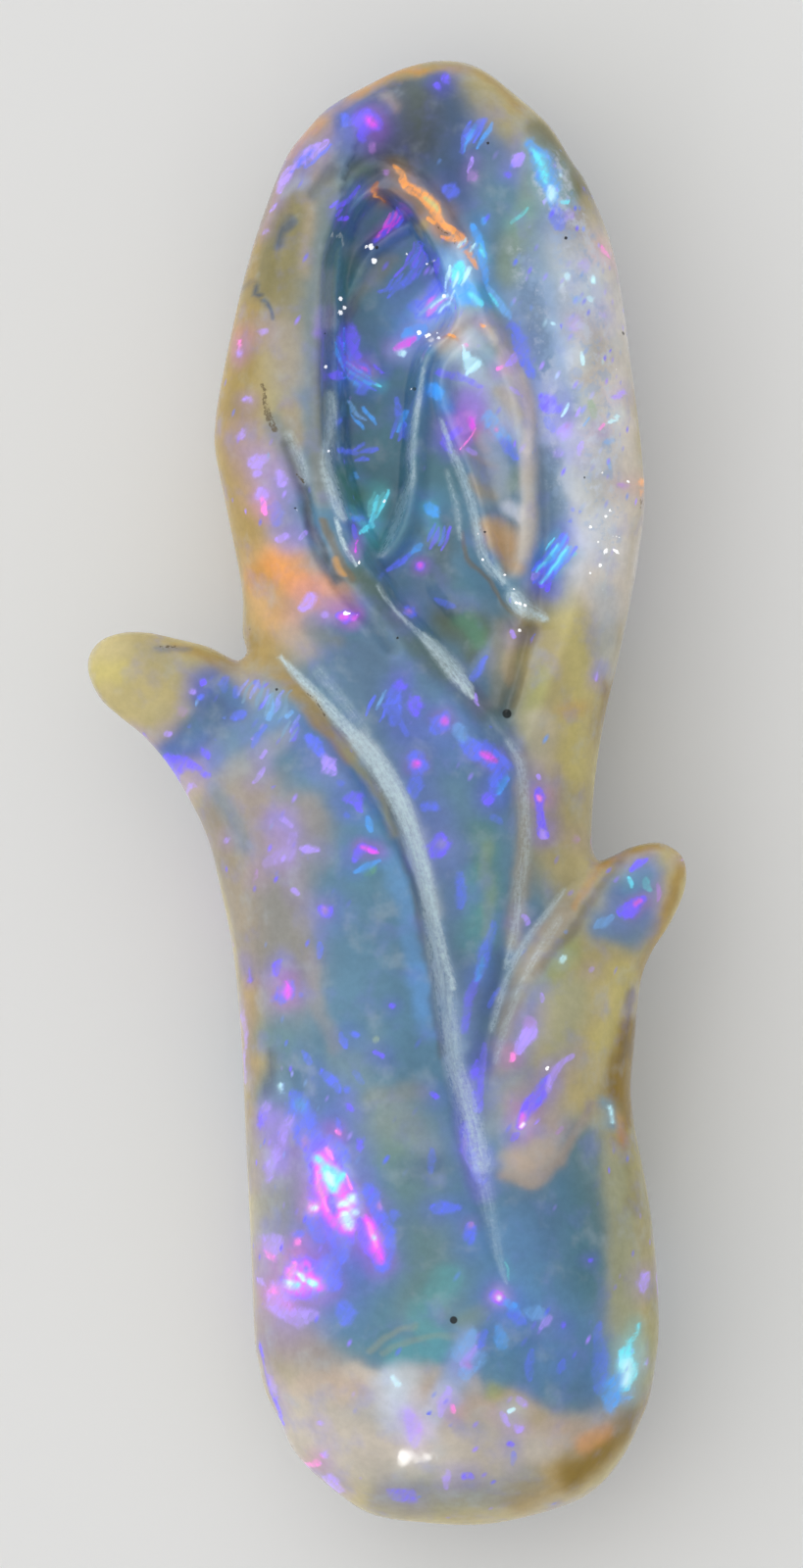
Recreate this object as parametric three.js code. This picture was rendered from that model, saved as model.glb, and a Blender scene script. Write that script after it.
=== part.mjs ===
// A flower in bud with two leaves, carved in relief from one piece of opal and lying on its back.
// Millimetres. X runs to the right, Y towards the top of the bloom and Z out of the carved face.
// The outline gives the shape seen from the front. A rounded front and back grow from it, the
// petals and leaves are cut into the front, and the back is ground flat so that the stone lies still.

import * as THREE from 'three';

// Body of the stone
const RIM_HEIGHT = 3.7;
const FRONT_ROUNDING = 1.1;
const BACK_ROUNDING = 1.15;
const CROWN = 0.2;
const CROWN_HALF_WIDTH = 5.4;
const CROWN_LIMIT = 1.2;
const CENTRE_LINE = { x: 1.3, lean: -0.018 };

// Rows of [y, swell of the front above the rim, swell of the back below it], from top to foot
const THICKNESS = [
  [18.7, 0.9, 1.9], [16, 2.0, 3.1], [12, 2.6, 3.9], [6, 2.9, 4.0], [2, 3.1, 4.0],
  [-4, 3.5, 4.0], [-10, 3.8, 4.0], [-15, 3.5, 3.8], [-18.7, 2.2, 2.4],
];

// Leaf tips are slim round fingers that curl a little towards the front
const LEFT_TIP = { x: -6.5, y: 2.95, swell: 1.05, lift: 0.55, reach: 5.0 };
const RIGHT_TIP = { x: 6.75, y: -2.1, swell: 0.85, lift: 0.5, reach: 3.8 };
const TIP_LENGTH = 0.7;
const FRONT_TIP_BLEND = 1.0;
const BACK_TIP_BLEND = 3.0;

// Carving cuts fade out towards the rim over this distance
const RIM_GUARD = 0.8;

// Past the floor of a carved overlap the stone rises again over this distance
const STEP_RISE = 2.6;

// Curves are traced through their points at this step, with this tension
const FINE = 0.2;
const TENSION = 0.5;

// Mesh: spacings of its points, and how near they come to the rim and to each other
const OUTLINE_STEP = 0.38;
const ROW_STEP = 0.36;
const ROW_MARGIN = 0.15;
const SPACING = 0.44;
const CLOSEST = 0.15;
const GRID_MARGIN = 0.2;
const GRID_HALF = { x: 10, y: 20 };
const BACK_SPACING = 2.2;
const BACK_CLOSEST = 0.35;
const FRONT_RINGS = 5;
const BACK_RINGS = 4;

// Gaps as shares of the grid's spacing or of a ring's inset, and a ring's least depth for its inset
const GRID_GAP_SHARE = 0.62;
const RING_GAP_SHARE = 0.7;
const RING_CLEAR_SHARE = 0.9;

// The ground-flat back: how far in its edge may lie, and how far above it the back's rings stop
const FLAT_REACH = 4;
const FLAT_CLEAR_SHARE = 0.8;
const FLAT_HALVINGS = 30;
const FLAT_MARGIN = 0.05;

const OUTLINE = [
  [1.4, 18.7], [2.35, 18.5], [3.4, 17.7], [4.15, 17], [4.65, 16.2], [5.1, 15.5], [5.7, 14],
  [6, 12.45], [6.2, 10.95], [6.4, 9.45], [6.55, 7.7], [6.45, 6.45], [6.2, 4.95], [5.9, 3.5],
  [5.55, 2], [5.3, 0.45], [5.2, -1], [5.25, -1.5], [5.4, -1.7], [5.7, -1.6], [6.25, -1.35],
  [6.9, -1.25], [7.4, -1.5], [7.6, -1.9], [7.55, -2.5], [7.2, -3.3], [6.75, -4], [6.45, -4.8],
  [6.3, -6.3], [6.2, -7.5], [6.3, -8.5], [6.6, -10], [6.8, -11.4], [6.9, -12.8], [6.9, -14],
  [6.7, -15.3], [6.45, -16], [6.1, -16.75], [5.6, -17.45], [4.9, -18], [3.75, -18.4],
  [2.4, -18.65], [0.9, -18.6], [-0.5, -18.35], [-1.7, -17.5], [-2.4, -16.75], [-2.75, -16],
  [-3.1, -15.3], [-3.3, -14.5], [-3.4, -13.8], [-3.5, -11.3], [-3.6, -9.3], [-3.7, -7],
  [-3.8, -5.5], [-3.95, -4], [-4.25, -2.5], [-4.65, -1], [-5.4, 0.45], [-6.15, 1.4],
  [-6.75, 1.9], [-7.3, 2.4], [-7.6, 3], [-7.6, 3.5], [-7.3, 3.9], [-6.75, 4.1], [-6.1, 4.1],
  [-5.4, 3.95], [-4.6, 3.75], [-4.1, 3.5], [-3.8, 3.4], [-3.6, 3.6], [-3.7, 4.1], [-3.7, 4.95],
  [-3.8, 5.7], [-4.1, 7.2], [-4.4, 8.7], [-4.4, 9.45], [-4.3, 10.2], [-4, 11.7], [-3.65, 13.2],
  [-3.2, 14.7], [-2.6, 16.2], [-2, 17], [-1.5, 17.5], [-0.65, 18], [0.4, 18.5],
];

// Overlaps: rows of [x, y, depth, floor width, shoulder width]. As a row runs, the stone rolls off
// over the shoulder on its right hand, drops to a narrow floor on its left hand and rises again.
const LEFT_LEAF_EDGE = [
  [-4.75, 4.2, 0, 0.2, 0.5], [-3.7, 3.5, 0.35, 0.2, 0.6], [-2.6, 3, 0.5, 0.25, 0.75],
  [-1.6, 2, 0.75, 0.35, 0.75], [-0.6, 0.7, 0.9, 0.5, 0.65], [0.1, -0.5, 0.9, 0.55, 0.55],
  [0.75, -1.75, 0.9, 0.45, 0.5], [1.1, -3, 0.85, 0.4, 0.45], [1.4, -4.3, 0.75, 0.35, 0.4],
  [1.55, -5.8, 0.65, 0.3, 0.4], [1.75, -7.3, 0.5, 0.3, 0.4], [2, -8.8, 0.35, 0.25, 0.35],
  [2.25, -10, 0.25, 0.2, 0.3], [2.6, -11.3, 0.12, 0.15, 0.3], [2.9, -12.3, 0, 0.15, 0.3],
];
const HOOD_MARGIN = [
  [-1.25, 15.2, 0, 0.2, 0.4], [-1.7, 13.7, 0, 0.2, 0.4], [-1.8, 11.95, 0, 0.2, 0.4],
  [-1.8, 10.2, 0, 0.2, 0.4], [-1.7, 8.7, 0, 0.2, 0.4], [-1.25, 7.2, 0, 0.2, 0.4],
  [-0.75, 5.95, 0.1, 0.2, 0.6], [-0.25, 5.3, 0.2, 0.2, 0.7], [0.1, 4.7, 0.3, 0.3, 0.75],
  [0.75, 4, 0.35, 0.45, 0.8], [1.5, 3.1, 0.4, 0.55, 0.8], [2.1, 2.4, 0.4, 0.4, 0.7],
  [2.8, 1.5, 0.35, 0.25, 0.55], [3.25, 0.45, 0.35, 0.3, 0.5], [3.4, -0.9, 0.35, 0.3, 0.5],
  [3.4, -2.25, 0.32, 0.3, 0.5], [3.1, -3.5, 0.3, 0.2, 0.5], [2.8, -4.8, 0.25, 0.2, 0.4],
  [2.5, -6, 0.15, 0.15, 0.4], [2.3, -7.3, 0, 0.15, 0.4],
];
const RIGHT_LEAF_EDGE = [
  [5.75, -7.8, 0, 0.15, 0.4], [5.4, -8.5, 0.08, 0.15, 0.5], [4.9, -9.4, 0.1, 0.15, 0.6],
  [4.1, -9.9, 0.12, 0.15, 0.6], [3.4, -9.95, 0.12, 0.15, 0.6], [2.8, -9.65, 0.15, 0.15, 0.6],
  [2.55, -8.8, 0.2, 0.2, 0.6], [2.45, -7.4, 0.3, 0.2, 0.7], [2.6, -6.15, 0.4, 0.25, 0.75],
  [2.8, -5.3, 0.5, 0.25, 0.8], [3.15, -4.35, 0.6, 0.25, 0.85], [3.8, -3.3, 0.65, 0.25, 0.85],
  [4.5, -2.4, 0.6, 0.25, 0.7], [5, -2, 0.4, 0.2, 0.5], [6.1, -0.9, 0, 0.2, 0.5],
];

// The hood's hollow lies between the hood's margin and this crest. Rows of [x, y, wall width].
const HOOD_CREST = [
  [-1.9, 14.6, 0.9], [-1.5, 15.85, 1.2], [-0.75, 17.2, 1.7], [0.6, 17.9, 2.1], [1.9, 17.85, 2.2],
  [3.4, 16.7, 2.2], [4.5, 15, 2.2], [5.1, 12.7, 2.2], [5.4, 10.2, 2.1], [5.5, 7.7, 1.9],
  [5.2, 5.45, 1.6], [4.6, 3.7, 1.1], [3.9, 2, 0.7], [3.5, 1.1, 0.5], [3, 0.1, 0.4], [2.4, -1, 0.4],
];
const HOLLOW_WALL = 0.4;
// Rows of [y, depth of the hollow]
const HOLLOW_DEPTH = [[16.5, 1.0], [14, 1.3], [8, 1.35], [5, 1.1], [3, 0.65], [1.4, 0.3], [0, 0]];

// Bud inside the hood: a raised wall around a pit, with a ridge along its upper edge
const BUD_RIM = [
  [-1.4, 14], [-1.1, 15.1], [-0.6, 15.7], [-0.05, 16.05], [0.75, 15.7], [1.55, 14.6], [2.1, 13.5],
  [2.6, 12.1], [2.1, 11.6], [1.4, 11.1], [1.2, 10.2], [1.1, 8.95], [1, 7.45], [0.6, 6.2],
  [-0.1, 5.6], [-0.8, 6.1], [-1.25, 7.2], [-1.55, 8.7], [-1.6, 10.2], [-1.6, 12.2],
];
const BUD_RISE = 0.35;
const BUD_EDGE = 0.45;
const BUD_PIT = [
  [-1.05, 14.7], [-0.25, 15.45], [0.55, 15], [1.2, 14], [1.6, 13.1], [1.85, 12.3], [1.6, 11.65],
  [1.05, 11.15], [0.8, 10.2], [0.7, 8.95], [0.6, 7.45], [0.25, 6.5], [-0.2, 6], [-0.7, 6.6],
  [-1.1, 7.7], [-1.3, 8.95], [-1.35, 10.2], [-1.4, 11.45], [-1.35, 13.2],
];
const PIT_DEPTH = 1.15;
const PIT_WALL = 0.35;
const PETAL = [
  [2.4, 12.2], [3, 11.6], [3.6, 10.2], [3.95, 8.7], [4.05, 6.95], [3.95, 5.45], [3.7, 4.35],
  [3.25, 4.2], [2.75, 5.1], [2.3, 6.2], [2, 7.45], [1.6, 8.45], [1.25, 9.35], [1, 10.35],
  [1.3, 11.3],
];
const PETAL_RISE = 0.5;
const PETAL_EDGE = 0.4;
const PETAL_HOLLOW = [
  [2.15, 11.45], [2.75, 11.1], [3.15, 10.2], [3.4, 8.95], [3.5, 7.2], [3.4, 5.85], [3, 5.4],
  [2.6, 6.05], [2.4, 6.95], [2.1, 8.2], [1.75, 9.2], [1.4, 9.95], [1.4, 10.85],
];
const PETAL_DEPTH = 0.45;
const PETAL_WALL = 0.45;

// Ridges and cuts: a height, a half width and a row of points
const RIDGES = [
  { height: 0.3, halfWidth: 0.28, path: [
    [-0.95, 15.5], [-0.6, 15.85], [-0.1, 16], [0.75, 15.6], [1.5, 14.6], [2, 13.6],
    [2.4, 12.45], [2.75, 11.6]] },
  { height: 0.25, halfWidth: 0.3, path: [
    [-1.3, 11.85], [-1, 12.7], [-0.5, 13.7], [0.1, 14.25], [0.45, 14.45]] },
  { height: -0.3, halfWidth: 0.3, path: [[3.6, 4.2], [3.3, 3.2], [3, 2.1]] },
  { height: -0.15, halfWidth: 0.7, path: [[-2.75, -7.3], [-2.9, -9], [-3.1, -11]] },
  { height: -0.25, halfWidth: 0.5, path: [[6.1, -4.9], [5.85, -6], [5.7, -7.8], [5.95, -9.6]] },
  { height: -0.22, halfWidth: 0.3, path: [
    [-2.5, 8.85], [-2.1, 7.6], [-1.75, 6.2], [-1.25, 5.3], [-0.55, 4.5], [0.1, 3.7]] },
  { height: 0.25, halfWidth: 0.4, path: [[3.15, 4.9], [3.6, 4.5]] },
  { height: 0.35, halfWidth: 1.0, path: [[1.7, 5.4], [2.2, 4.6], [2.75, 3.3]] },
];

const clamp01 = (t) => Math.min(1, Math.max(0, t));
const smooth = (t) => clamp01(t) ** 2 * (3 - 2 * clamp01(t));
const mix = (a, b, t) => a + (b - a) * t;
const roundOff = (t) => Math.sqrt(1 - (1 - clamp01(t)) ** 2);

// Value at y in rows of [y, value, value ...] that run downwards, on a smooth curve
function rowValue(rows, y, column) {
  const last = rows.length - 1;
  const at = clamp01((rows[0][0] - y) / (rows[0][0] - rows[last][0]));
  if (at === 0) return rows[0][column];
  if (at === 1) return rows[last][column];
  const i = rows.findIndex((row) => row[0] < y) - 1;
  const before = rows[Math.max(0, i - 1)];
  const after = rows[Math.min(last, i + 2)];
  const [from, to] = [rows[i], rows[i + 1]];
  const span = to[0] - from[0];
  const slopeFrom = (to[column] - before[column]) / (to[0] - before[0]);
  const slopeTo = (after[column] - from[column]) / (after[0] - from[0]);
  const t = (y - from[0]) / span;
  const bend = span * (slopeFrom * (1 - t) - slopeTo * t) + (to[column] - from[column]) * (2 * t - 1);
  return mix(from[column], to[column], t) + t * (1 - t) * bend;
}

// Evenly spaced points on the smooth curve through hand-set points, with their other values
function trace(points, step, closed = false) {
  const vectors = points.map(([x, y]) => new THREE.Vector3(x, y, 0));
  const curve = new THREE.CatmullRomCurve3(vectors, closed, 'catmullrom', TENSION);
  const spans = closed ? points.length : points.length - 1;
  const traced = [];
  for (let i = 0; i < spans; i++) {
    const next = (i + 1) % points.length;
    const pieces = Math.max(1, Math.round(vectors[i].distanceTo(vectors[next]) / step));
    for (let j = 0; j < pieces; j++) {
      const { x, y } = curve.getPoint((i + j / pieces) / spans);
      traced.push([x, y, ...points[i].slice(2).map((v, k) => mix(v, points[next][k + 2], j / pieces))]);
    }
  }
  return closed ? traced : [...traced, points[points.length - 1]];
}

// Nearest place on a traced path: distance, positive on the left hand, and the values there
function nearest(path, x, y, closed = false) {
  let best = { distance: Infinity };
  const spans = closed ? path.length : path.length - 1;
  for (let i = 0; i < spans; i++) {
    const [a, b] = [path[i], path[(i + 1) % path.length]];
    const [dx, dy] = [b[0] - a[0], b[1] - a[1]];
    const t = clamp01(((x - a[0]) * dx + (y - a[1]) * dy) / (dx * dx + dy * dy));
    const distance = Math.hypot(x - a[0] - dx * t, y - a[1] - dy * t);
    if (distance >= best.distance) continue;
    const side = dx * (y - a[1]) - dy * (x - a[0]);
    best = { distance, side, a, b, t };
  }
  const values = best.a.slice(2).map((v, k) => mix(v, best.b[k + 2], best.t));
  return { offset: best.side < 0 ? -best.distance : best.distance, values };
}

// Distance to a closed outline, positive inside whichever way its points run
function insideDistance(path, x, y) {
  let crossings = 0;
  path.forEach(([ax, ay], i) => {
    const [bx, by] = path[(i + 1) % path.length];
    if ((ay > y) !== (by > y) && x < ax + ((y - ay) * (bx - ax)) / (by - ay)) crossings += 1;
  });
  const distance = Math.abs(nearest(path, x, y, true).offset);
  return crossings % 2 ? distance : -distance;
}

const outline = trace(OUTLINE, FINE, true);
const leftLeafEdge = trace(LEFT_LEAF_EDGE, FINE);
const hoodMargin = trace(HOOD_MARGIN, FINE);
const rightLeafEdge = trace(RIGHT_LEAF_EDGE, FINE);
const hoodCrest = trace(HOOD_CREST, FINE);
const budRim = trace(BUD_RIM, FINE, true);
const budPit = trace(BUD_PIT, FINE, true);
const petal = trace(PETAL, FINE, true);
const petalHollow = trace(PETAL_HOLLOW, FINE, true);
const ridges = RIDGES.map((ridge) => ({ ...ridge, path: trace(ridge.path, FINE) }));

// How far a point is in a leaf tip: 1 at the tip, 0 in the body or across the leaf's carved edge
function tipShare(tip, edgeOffset, blend, x, y) {
  const along = (Math.hypot(x - tip.x, y - tip.y) - TIP_LENGTH) / tip.reach;
  return (1 - smooth(along)) * smooth(0.5 - edgeOffset / blend);
}

// Body thickness and rim height at a point
function bodyAt(x, y) {
  let front = rowValue(THICKNESS, y, 1);
  let back = rowValue(THICKNESS, y, 2);
  let rim = RIM_HEIGHT;
  for (const [tip, edge] of [[LEFT_TIP, leftLeafEdge], [RIGHT_TIP, rightLeafEdge]]) {
    const { offset } = nearest(edge, x, y);
    const share = tipShare(tip, offset, FRONT_TIP_BLEND, x, y);
    front = mix(front, tip.swell, share);
    back = mix(back, tip.swell, tipShare(tip, offset, BACK_TIP_BLEND, x, y));
    rim += tip.lift * share;
  }
  return { front, back, rim };
}

// Depth of an overlap whose lower side is on the left hand of its path
function overlapCut(path, x, y) {
  const { offset, values: [depth, floor, shoulder] } = nearest(path, x, y);
  if (offset <= -shoulder || depth === 0) return 0;
  if (offset < 0) return depth * (1 - Math.cos((1 + offset / shoulder) * Math.PI / 2));
  return depth * (1 - smooth((offset - floor) / STEP_RISE));
}

function hoodHollow(x, y) {
  const crest = nearest(hoodCrest, x, y);
  const left = smooth(nearest(hoodMargin, x, y).offset / HOLLOW_WALL);
  const right = smooth(-crest.offset / crest.values[0]);
  return rowValue(HOLLOW_DEPTH, y, 1) * left * right;
}

function budRelief(x, y) {
  const rise = BUD_RISE * smooth(insideDistance(budRim, x, y) / BUD_EDGE);
  return rise - PIT_DEPTH * smooth(insideDistance(budPit, x, y) / PIT_WALL);
}

function petalRelief(x, y) {
  const rise = PETAL_RISE * smooth(insideDistance(petal, x, y) / PETAL_EDGE);
  return rise - PETAL_DEPTH * smooth(insideDistance(petalHollow, x, y) / PETAL_WALL);
}

function ridgeRelief({ height, halfWidth, path }, x, y) {
  return height * (1 - smooth(Math.abs(nearest(path, x, y).offset) / halfWidth));
}

function frontHeight(x, y) {
  const { front, rim } = bodyAt(x, y);
  const inside = Math.max(0, insideDistance(outline, x, y));
  const across = (x - CENTRE_LINE.x - CENTRE_LINE.lean * y) / CROWN_HALF_WIDTH;
  const crown = 1 - CROWN * Math.min(CROWN_LIMIT, Math.abs(across)) ** 2;
  const swell = front * roundOff(inside / (FRONT_ROUNDING * front)) * crown;
  let relief = budRelief(x, y) + petalRelief(x, y) - hoodHollow(x, y);
  for (const edge of [leftLeafEdge, hoodMargin, rightLeafEdge]) relief -= overlapCut(edge, x, y);
  for (const ridge of ridges) relief += ridgeRelief(ridge, x, y);
  return rim + swell + relief * smooth(inside / RIM_GUARD);
}

function backLevel(x, y) {
  const { back, rim } = bodyAt(x, y);
  const inside = Math.max(0, insideDistance(outline, x, y));
  return rim - back * roundOff(inside / (BACK_ROUNDING * back));
}

// A set of points that keeps its members at least a given gap apart
class PointSet {
  constructor(gap) {
    this.gap = gap;
    this.points = [];
    this.cells = new Map();
  }

  cell(x, y) {
    return `${Math.floor(x / this.gap)},${Math.floor(y / this.gap)}`;
  }

  near(x, y, gap) {
    for (let i = -1; i <= 1; i++) {
      for (let j = -1; j <= 1; j++) {
        const members = this.cells.get(this.cell(x + i * this.gap, y + j * this.gap)) ?? [];
        if (members.some(([mx, my]) => Math.hypot(mx - x, my - y) < gap)) return true;
      }
    }
    return false;
  }

  add(x, y, gap = this.gap) {
    if (this.near(x, y, gap)) return;
    const key = this.cell(x, y);
    if (!this.cells.has(key)) this.cells.set(key, []);
    this.cells.get(key).push([x, y]);
    this.points.push([x, y]);
  }
}

// Unit left-hand normals along a traced path
function normals(path, closed) {
  return path.map((_, i) => {
    const before = path[closed ? (i + path.length - 1) % path.length : Math.max(0, i - 1)];
    const after = path[closed ? (i + 1) % path.length : Math.min(path.length - 1, i + 1)];
    const [dx, dy] = [after[0] - before[0], after[1] - before[1]];
    const length = Math.hypot(dx, dy);
    return [-dy / length, dx / length];
  });
}

// Adds a row of points beside a path, at an offset that may follow the path's own values
function addRow(set, points, offsetOf, closed = false) {
  const path = trace(points, ROW_STEP, closed);
  normals(path, closed).forEach(([nx, ny], i) => {
    const offset = offsetOf(path[i]);
    const [x, y] = [path[i][0] + nx * offset, path[i][1] + ny * offset];
    if (insideDistance(outline, x, y) > ROW_MARGIN) set.add(x, y);
  });
}

// Adds rings inside the outline where the rounding of the rim turns by equal angles
function addRimRings(set, ring, turns, roundingAt, wanted = () => true) {
  const inward = normals(ring, true);
  for (let turn = 1; turn <= turns; turn++) {
    const share = 1 - Math.cos((turn / turns) * Math.PI / 2);
    ring.forEach(([x, y], i) => {
      const inset = share * roundingAt(x, y);
      const [px, py] = [x - inward[i][0] * inset, y - inward[i][1] * inset];
      const clear = insideDistance(outline, px, py) > inset * RING_CLEAR_SHARE;
      if (clear && wanted(px, py)) set.add(px, py, Math.min(set.gap, inset * RING_GAP_SHARE));
    });
  }
}

function addGrid(set, spacing, margin) {
  const rowGap = spacing * Math.sqrt(3) / 2;
  const half = GRID_HALF;
  for (let row = 0, y = -half.y; y < half.y; row += 1, y += rowGap) {
    for (let x = -half.x + (row % 2) * spacing / 2; x < half.x; x += spacing) {
      if (insideDistance(outline, x, y) > margin) set.add(x, y, spacing * GRID_GAP_SHARE);
    }
  }
}

// Points of the front sheet, those on the outline first
function frontPoints(ring) {
  const set = new PointSet(CLOSEST);
  ring.forEach(([x, y]) => set.add(x, y, 0));
  addRimRings(set, ring, FRONT_RINGS, (x, y) => FRONT_ROUNDING * bodyAt(x, y).front);
  for (const edge of [LEFT_LEAF_EDGE, HOOD_MARGIN, RIGHT_LEAF_EDGE]) {
    addRow(set, edge, () => 0);
    addRow(set, edge, ([, , , floor]) => floor);
    for (const share of [1, 0.5]) addRow(set, edge, ([, , , , shoulder]) => -share * shoulder);
  }
  const walls = [[BUD_PIT, PIT_WALL], [PETAL, PETAL_EDGE], [PETAL_HOLLOW, PETAL_WALL], [BUD_RIM, BUD_EDGE]];
  for (const [path, wall] of walls) {
    for (const offset of [0, -wall]) addRow(set, path, () => offset, true);
  }
  for (const { path, halfWidth } of RIDGES) {
    for (const offset of [0, halfWidth, -halfWidth]) addRow(set, path, () => offset);
  }
  addRow(set, HOOD_CREST, () => 0);
  addGrid(set, SPACING, GRID_MARGIN);
  return set.points;
}

// Places where the curved back meets the ground-flat face
function addFlatEdge(set, ring) {
  normals(ring, true).forEach(([nx, ny], i) => {
    const at = (inset) => [ring[i][0] - nx * inset, ring[i][1] - ny * inset];
    let [low, high] = [0, FLAT_REACH];
    if (backLevel(...at(high)) > 0) return;
    if (insideDistance(outline, ...at(high)) < high * FLAT_CLEAR_SHARE) return;
    for (let k = 0; k < FLAT_HALVINGS; k++) {
      const middle = (low + high) / 2;
      if (backLevel(...at(middle)) > 0) low = middle;
      else high = middle;
    }
    set.add(...at(high));
  });
}

function backPoints(ring) {
  const set = new PointSet(BACK_CLOSEST);
  ring.forEach(([x, y]) => set.add(x, y, 0));
  addFlatEdge(set, ring);
  const rounding = (x, y) => BACK_ROUNDING * bodyAt(x, y).back;
  addRimRings(set, ring, BACK_RINGS, rounding, (x, y) => backLevel(x, y) > FLAT_MARGIN);
  addGrid(set, BACK_SPACING, BACK_CLOSEST);
  return set.points;
}

// A triangle with its circumscribed circle
function withCircle(points, a, b, c) {
  const [[ax, ay], [bx, by], [cx, cy]] = [points[a], points[b], points[c]];
  const double = 2 * ((bx - ax) * (cy - ay) - (by - ay) * (cx - ax));
  const [ab, ac] = [(bx - ax) ** 2 + (by - ay) ** 2, (cx - ax) ** 2 + (cy - ay) ** 2];
  const ux = ((cy - ay) * ab - (by - ay) * ac) / double;
  const uy = ((bx - ax) * ac - (cx - ax) * ab) / double;
  return { corners: [a, b, c], x: ax + ux, y: ay + uy, radius2: ux * ux + uy * uy };
}

// Delaunay triangles of the points, counter-clockwise, adding one point at a time
function delaunay(points) {
  const far = 1000;
  const all = [...points, [-far, -far], [far, -far], [0, far]];
  const count = points.length;
  let triangles = [withCircle(all, count, count + 1, count + 2)];
  points.forEach(([x, y], i) => {
    const rim = new Map();
    triangles = triangles.filter((triangle) => {
      if ((x - triangle.x) ** 2 + (y - triangle.y) ** 2 >= triangle.radius2) return true;
      triangle.corners.forEach((a, k) => {
        const b = triangle.corners[(k + 1) % 3];
        if (!rim.delete(`${b},${a}`)) rim.set(`${a},${b}`, [a, b]);
      });
      return false;
    });
    for (const [a, b] of rim.values()) triangles.push(withCircle(all, a, b, i));
  });
  return triangles.map(({ corners }) => corners).filter((corners) => Math.max(...corners) < count);
}

// Triangles of the sheet, without those that bridge a notch of the outline
function sheet(points, ring) {
  return delaunay(points).filter((corners) => {
    const x = corners.reduce((sum, c) => sum + points[c][0], 0) / 3;
    const y = corners.reduce((sum, c) => sum + points[c][1], 0) / 3;
    return insideDistance(ring, x, y) > 0;
  });
}

// The closed stone: a front and a back sheet that share the outline's points
function stoneGeometry() {
  const ring = trace(OUTLINE, OUTLINE_STEP, true);
  const front = frontPoints(ring);
  const back = backPoints(ring);
  const positions = front.map(([x, y], i) => (
    [x, y, i < ring.length ? bodyAt(x, y).rim : frontHeight(x, y)]));
  for (const [x, y] of back.slice(ring.length)) positions.push([x, y, Math.max(0, backLevel(x, y))]);
  const backIndex = (i) => (i < ring.length ? i : i - ring.length + front.length);
  const index = sheet(front, ring).flat();
  for (const [a, b, c] of sheet(back, ring)) index.push(backIndex(c), backIndex(b), backIndex(a));
  const geometry = new THREE.BufferGeometry();
  geometry.setAttribute('position', new THREE.Float32BufferAttribute(positions.flat(), 3));
  geometry.setIndex(index);
  return geometry;
}

// Sets the geometry's box centrally over the origin
function centred(geometry) {
  geometry.computeBoundingBox();
  const { min, max } = geometry.boundingBox;
  return geometry.translate(-(min.x + max.x) / 2, -(min.y + max.y) / 2, -min.z);
}

const opal = new THREE.MeshStandardMaterial({ color: 0xa9b5a8, roughness: 0.12, metalness: 0 });
const geometry = centred(stoneGeometry());
geometry.computeVertexNormals();
const stone = new THREE.Mesh(geometry, opal);
stone.name = 'opal_flower_carving';

const carving = new THREE.Group();
carving.add(stone);

export default carving;
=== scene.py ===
"""Looks for a flower in bud with two leaves, carved in relief from one piece of light opal.

The stone lies on its back. A fine mesh of the whole carving stands for the CAD node: a front and a
back surface that share one outline, with the hood, bud, petals and leaf edges cut into the front.
Colour, play of colour, frosting and dirt are fields worked out at each vertex, some of the colour being
painted shade, highlights and glow, and the material breaks their edges up with noise. Shape sizes are in
millimetres until the mesh is made in metres.
"""

import math

import bpy
import numpy as np
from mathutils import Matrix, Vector, noise
from mathutils.geometry import delaunay_2d_cdt


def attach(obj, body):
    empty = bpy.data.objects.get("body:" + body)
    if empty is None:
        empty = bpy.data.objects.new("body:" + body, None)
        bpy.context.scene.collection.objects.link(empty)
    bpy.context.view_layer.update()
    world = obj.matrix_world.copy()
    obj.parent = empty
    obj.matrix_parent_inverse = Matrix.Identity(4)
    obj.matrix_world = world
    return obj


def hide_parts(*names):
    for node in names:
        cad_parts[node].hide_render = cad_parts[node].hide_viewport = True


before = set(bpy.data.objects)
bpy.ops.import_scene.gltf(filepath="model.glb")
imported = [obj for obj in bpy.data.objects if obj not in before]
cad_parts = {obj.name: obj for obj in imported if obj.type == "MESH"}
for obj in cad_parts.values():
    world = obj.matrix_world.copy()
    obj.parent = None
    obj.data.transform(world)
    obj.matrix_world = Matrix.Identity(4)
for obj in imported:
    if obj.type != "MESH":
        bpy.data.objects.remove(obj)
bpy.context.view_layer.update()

MM = 0.001
NODE = "opal_flower_carving"

# Body of the stone
RIM_HEIGHT = 3.7
FRONT_ROUNDING = 1.1
BACK_ROUNDING = 1.15
CROWN = 0.2
CROWN_HALF_WIDTH = 5.4
CROWN_LIMIT = 1.2
CENTRE_X = 1.3
CENTRE_LEAN = -0.018
RIM_GUARD = 0.8
STEP_RISE = 2.6

# Rows of (y, swell of the front above the rim, swell of the back below it), from top to foot
THICKNESS = [
    (18.7, 0.9, 1.9), (16, 2.0, 3.1), (12, 2.6, 3.9), (6, 2.9, 4.0), (2, 3.1, 4.0),
    (-4, 3.5, 4.0), (-10, 3.8, 4.0), (-15, 3.5, 3.8), (-18.7, 2.2, 2.4),
]

# Leaf tips: x, y, swell, lift of the rim, reach into the body
LEFT_TIP = (-6.5, 2.95, 1.05, 0.55, 5.0)
RIGHT_TIP = (6.75, -2.1, 0.85, 0.5, 3.8)
TIP_LENGTH = 0.7
FRONT_TIP_BLEND = 1.0
BACK_TIP_BLEND = 3.0

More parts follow.
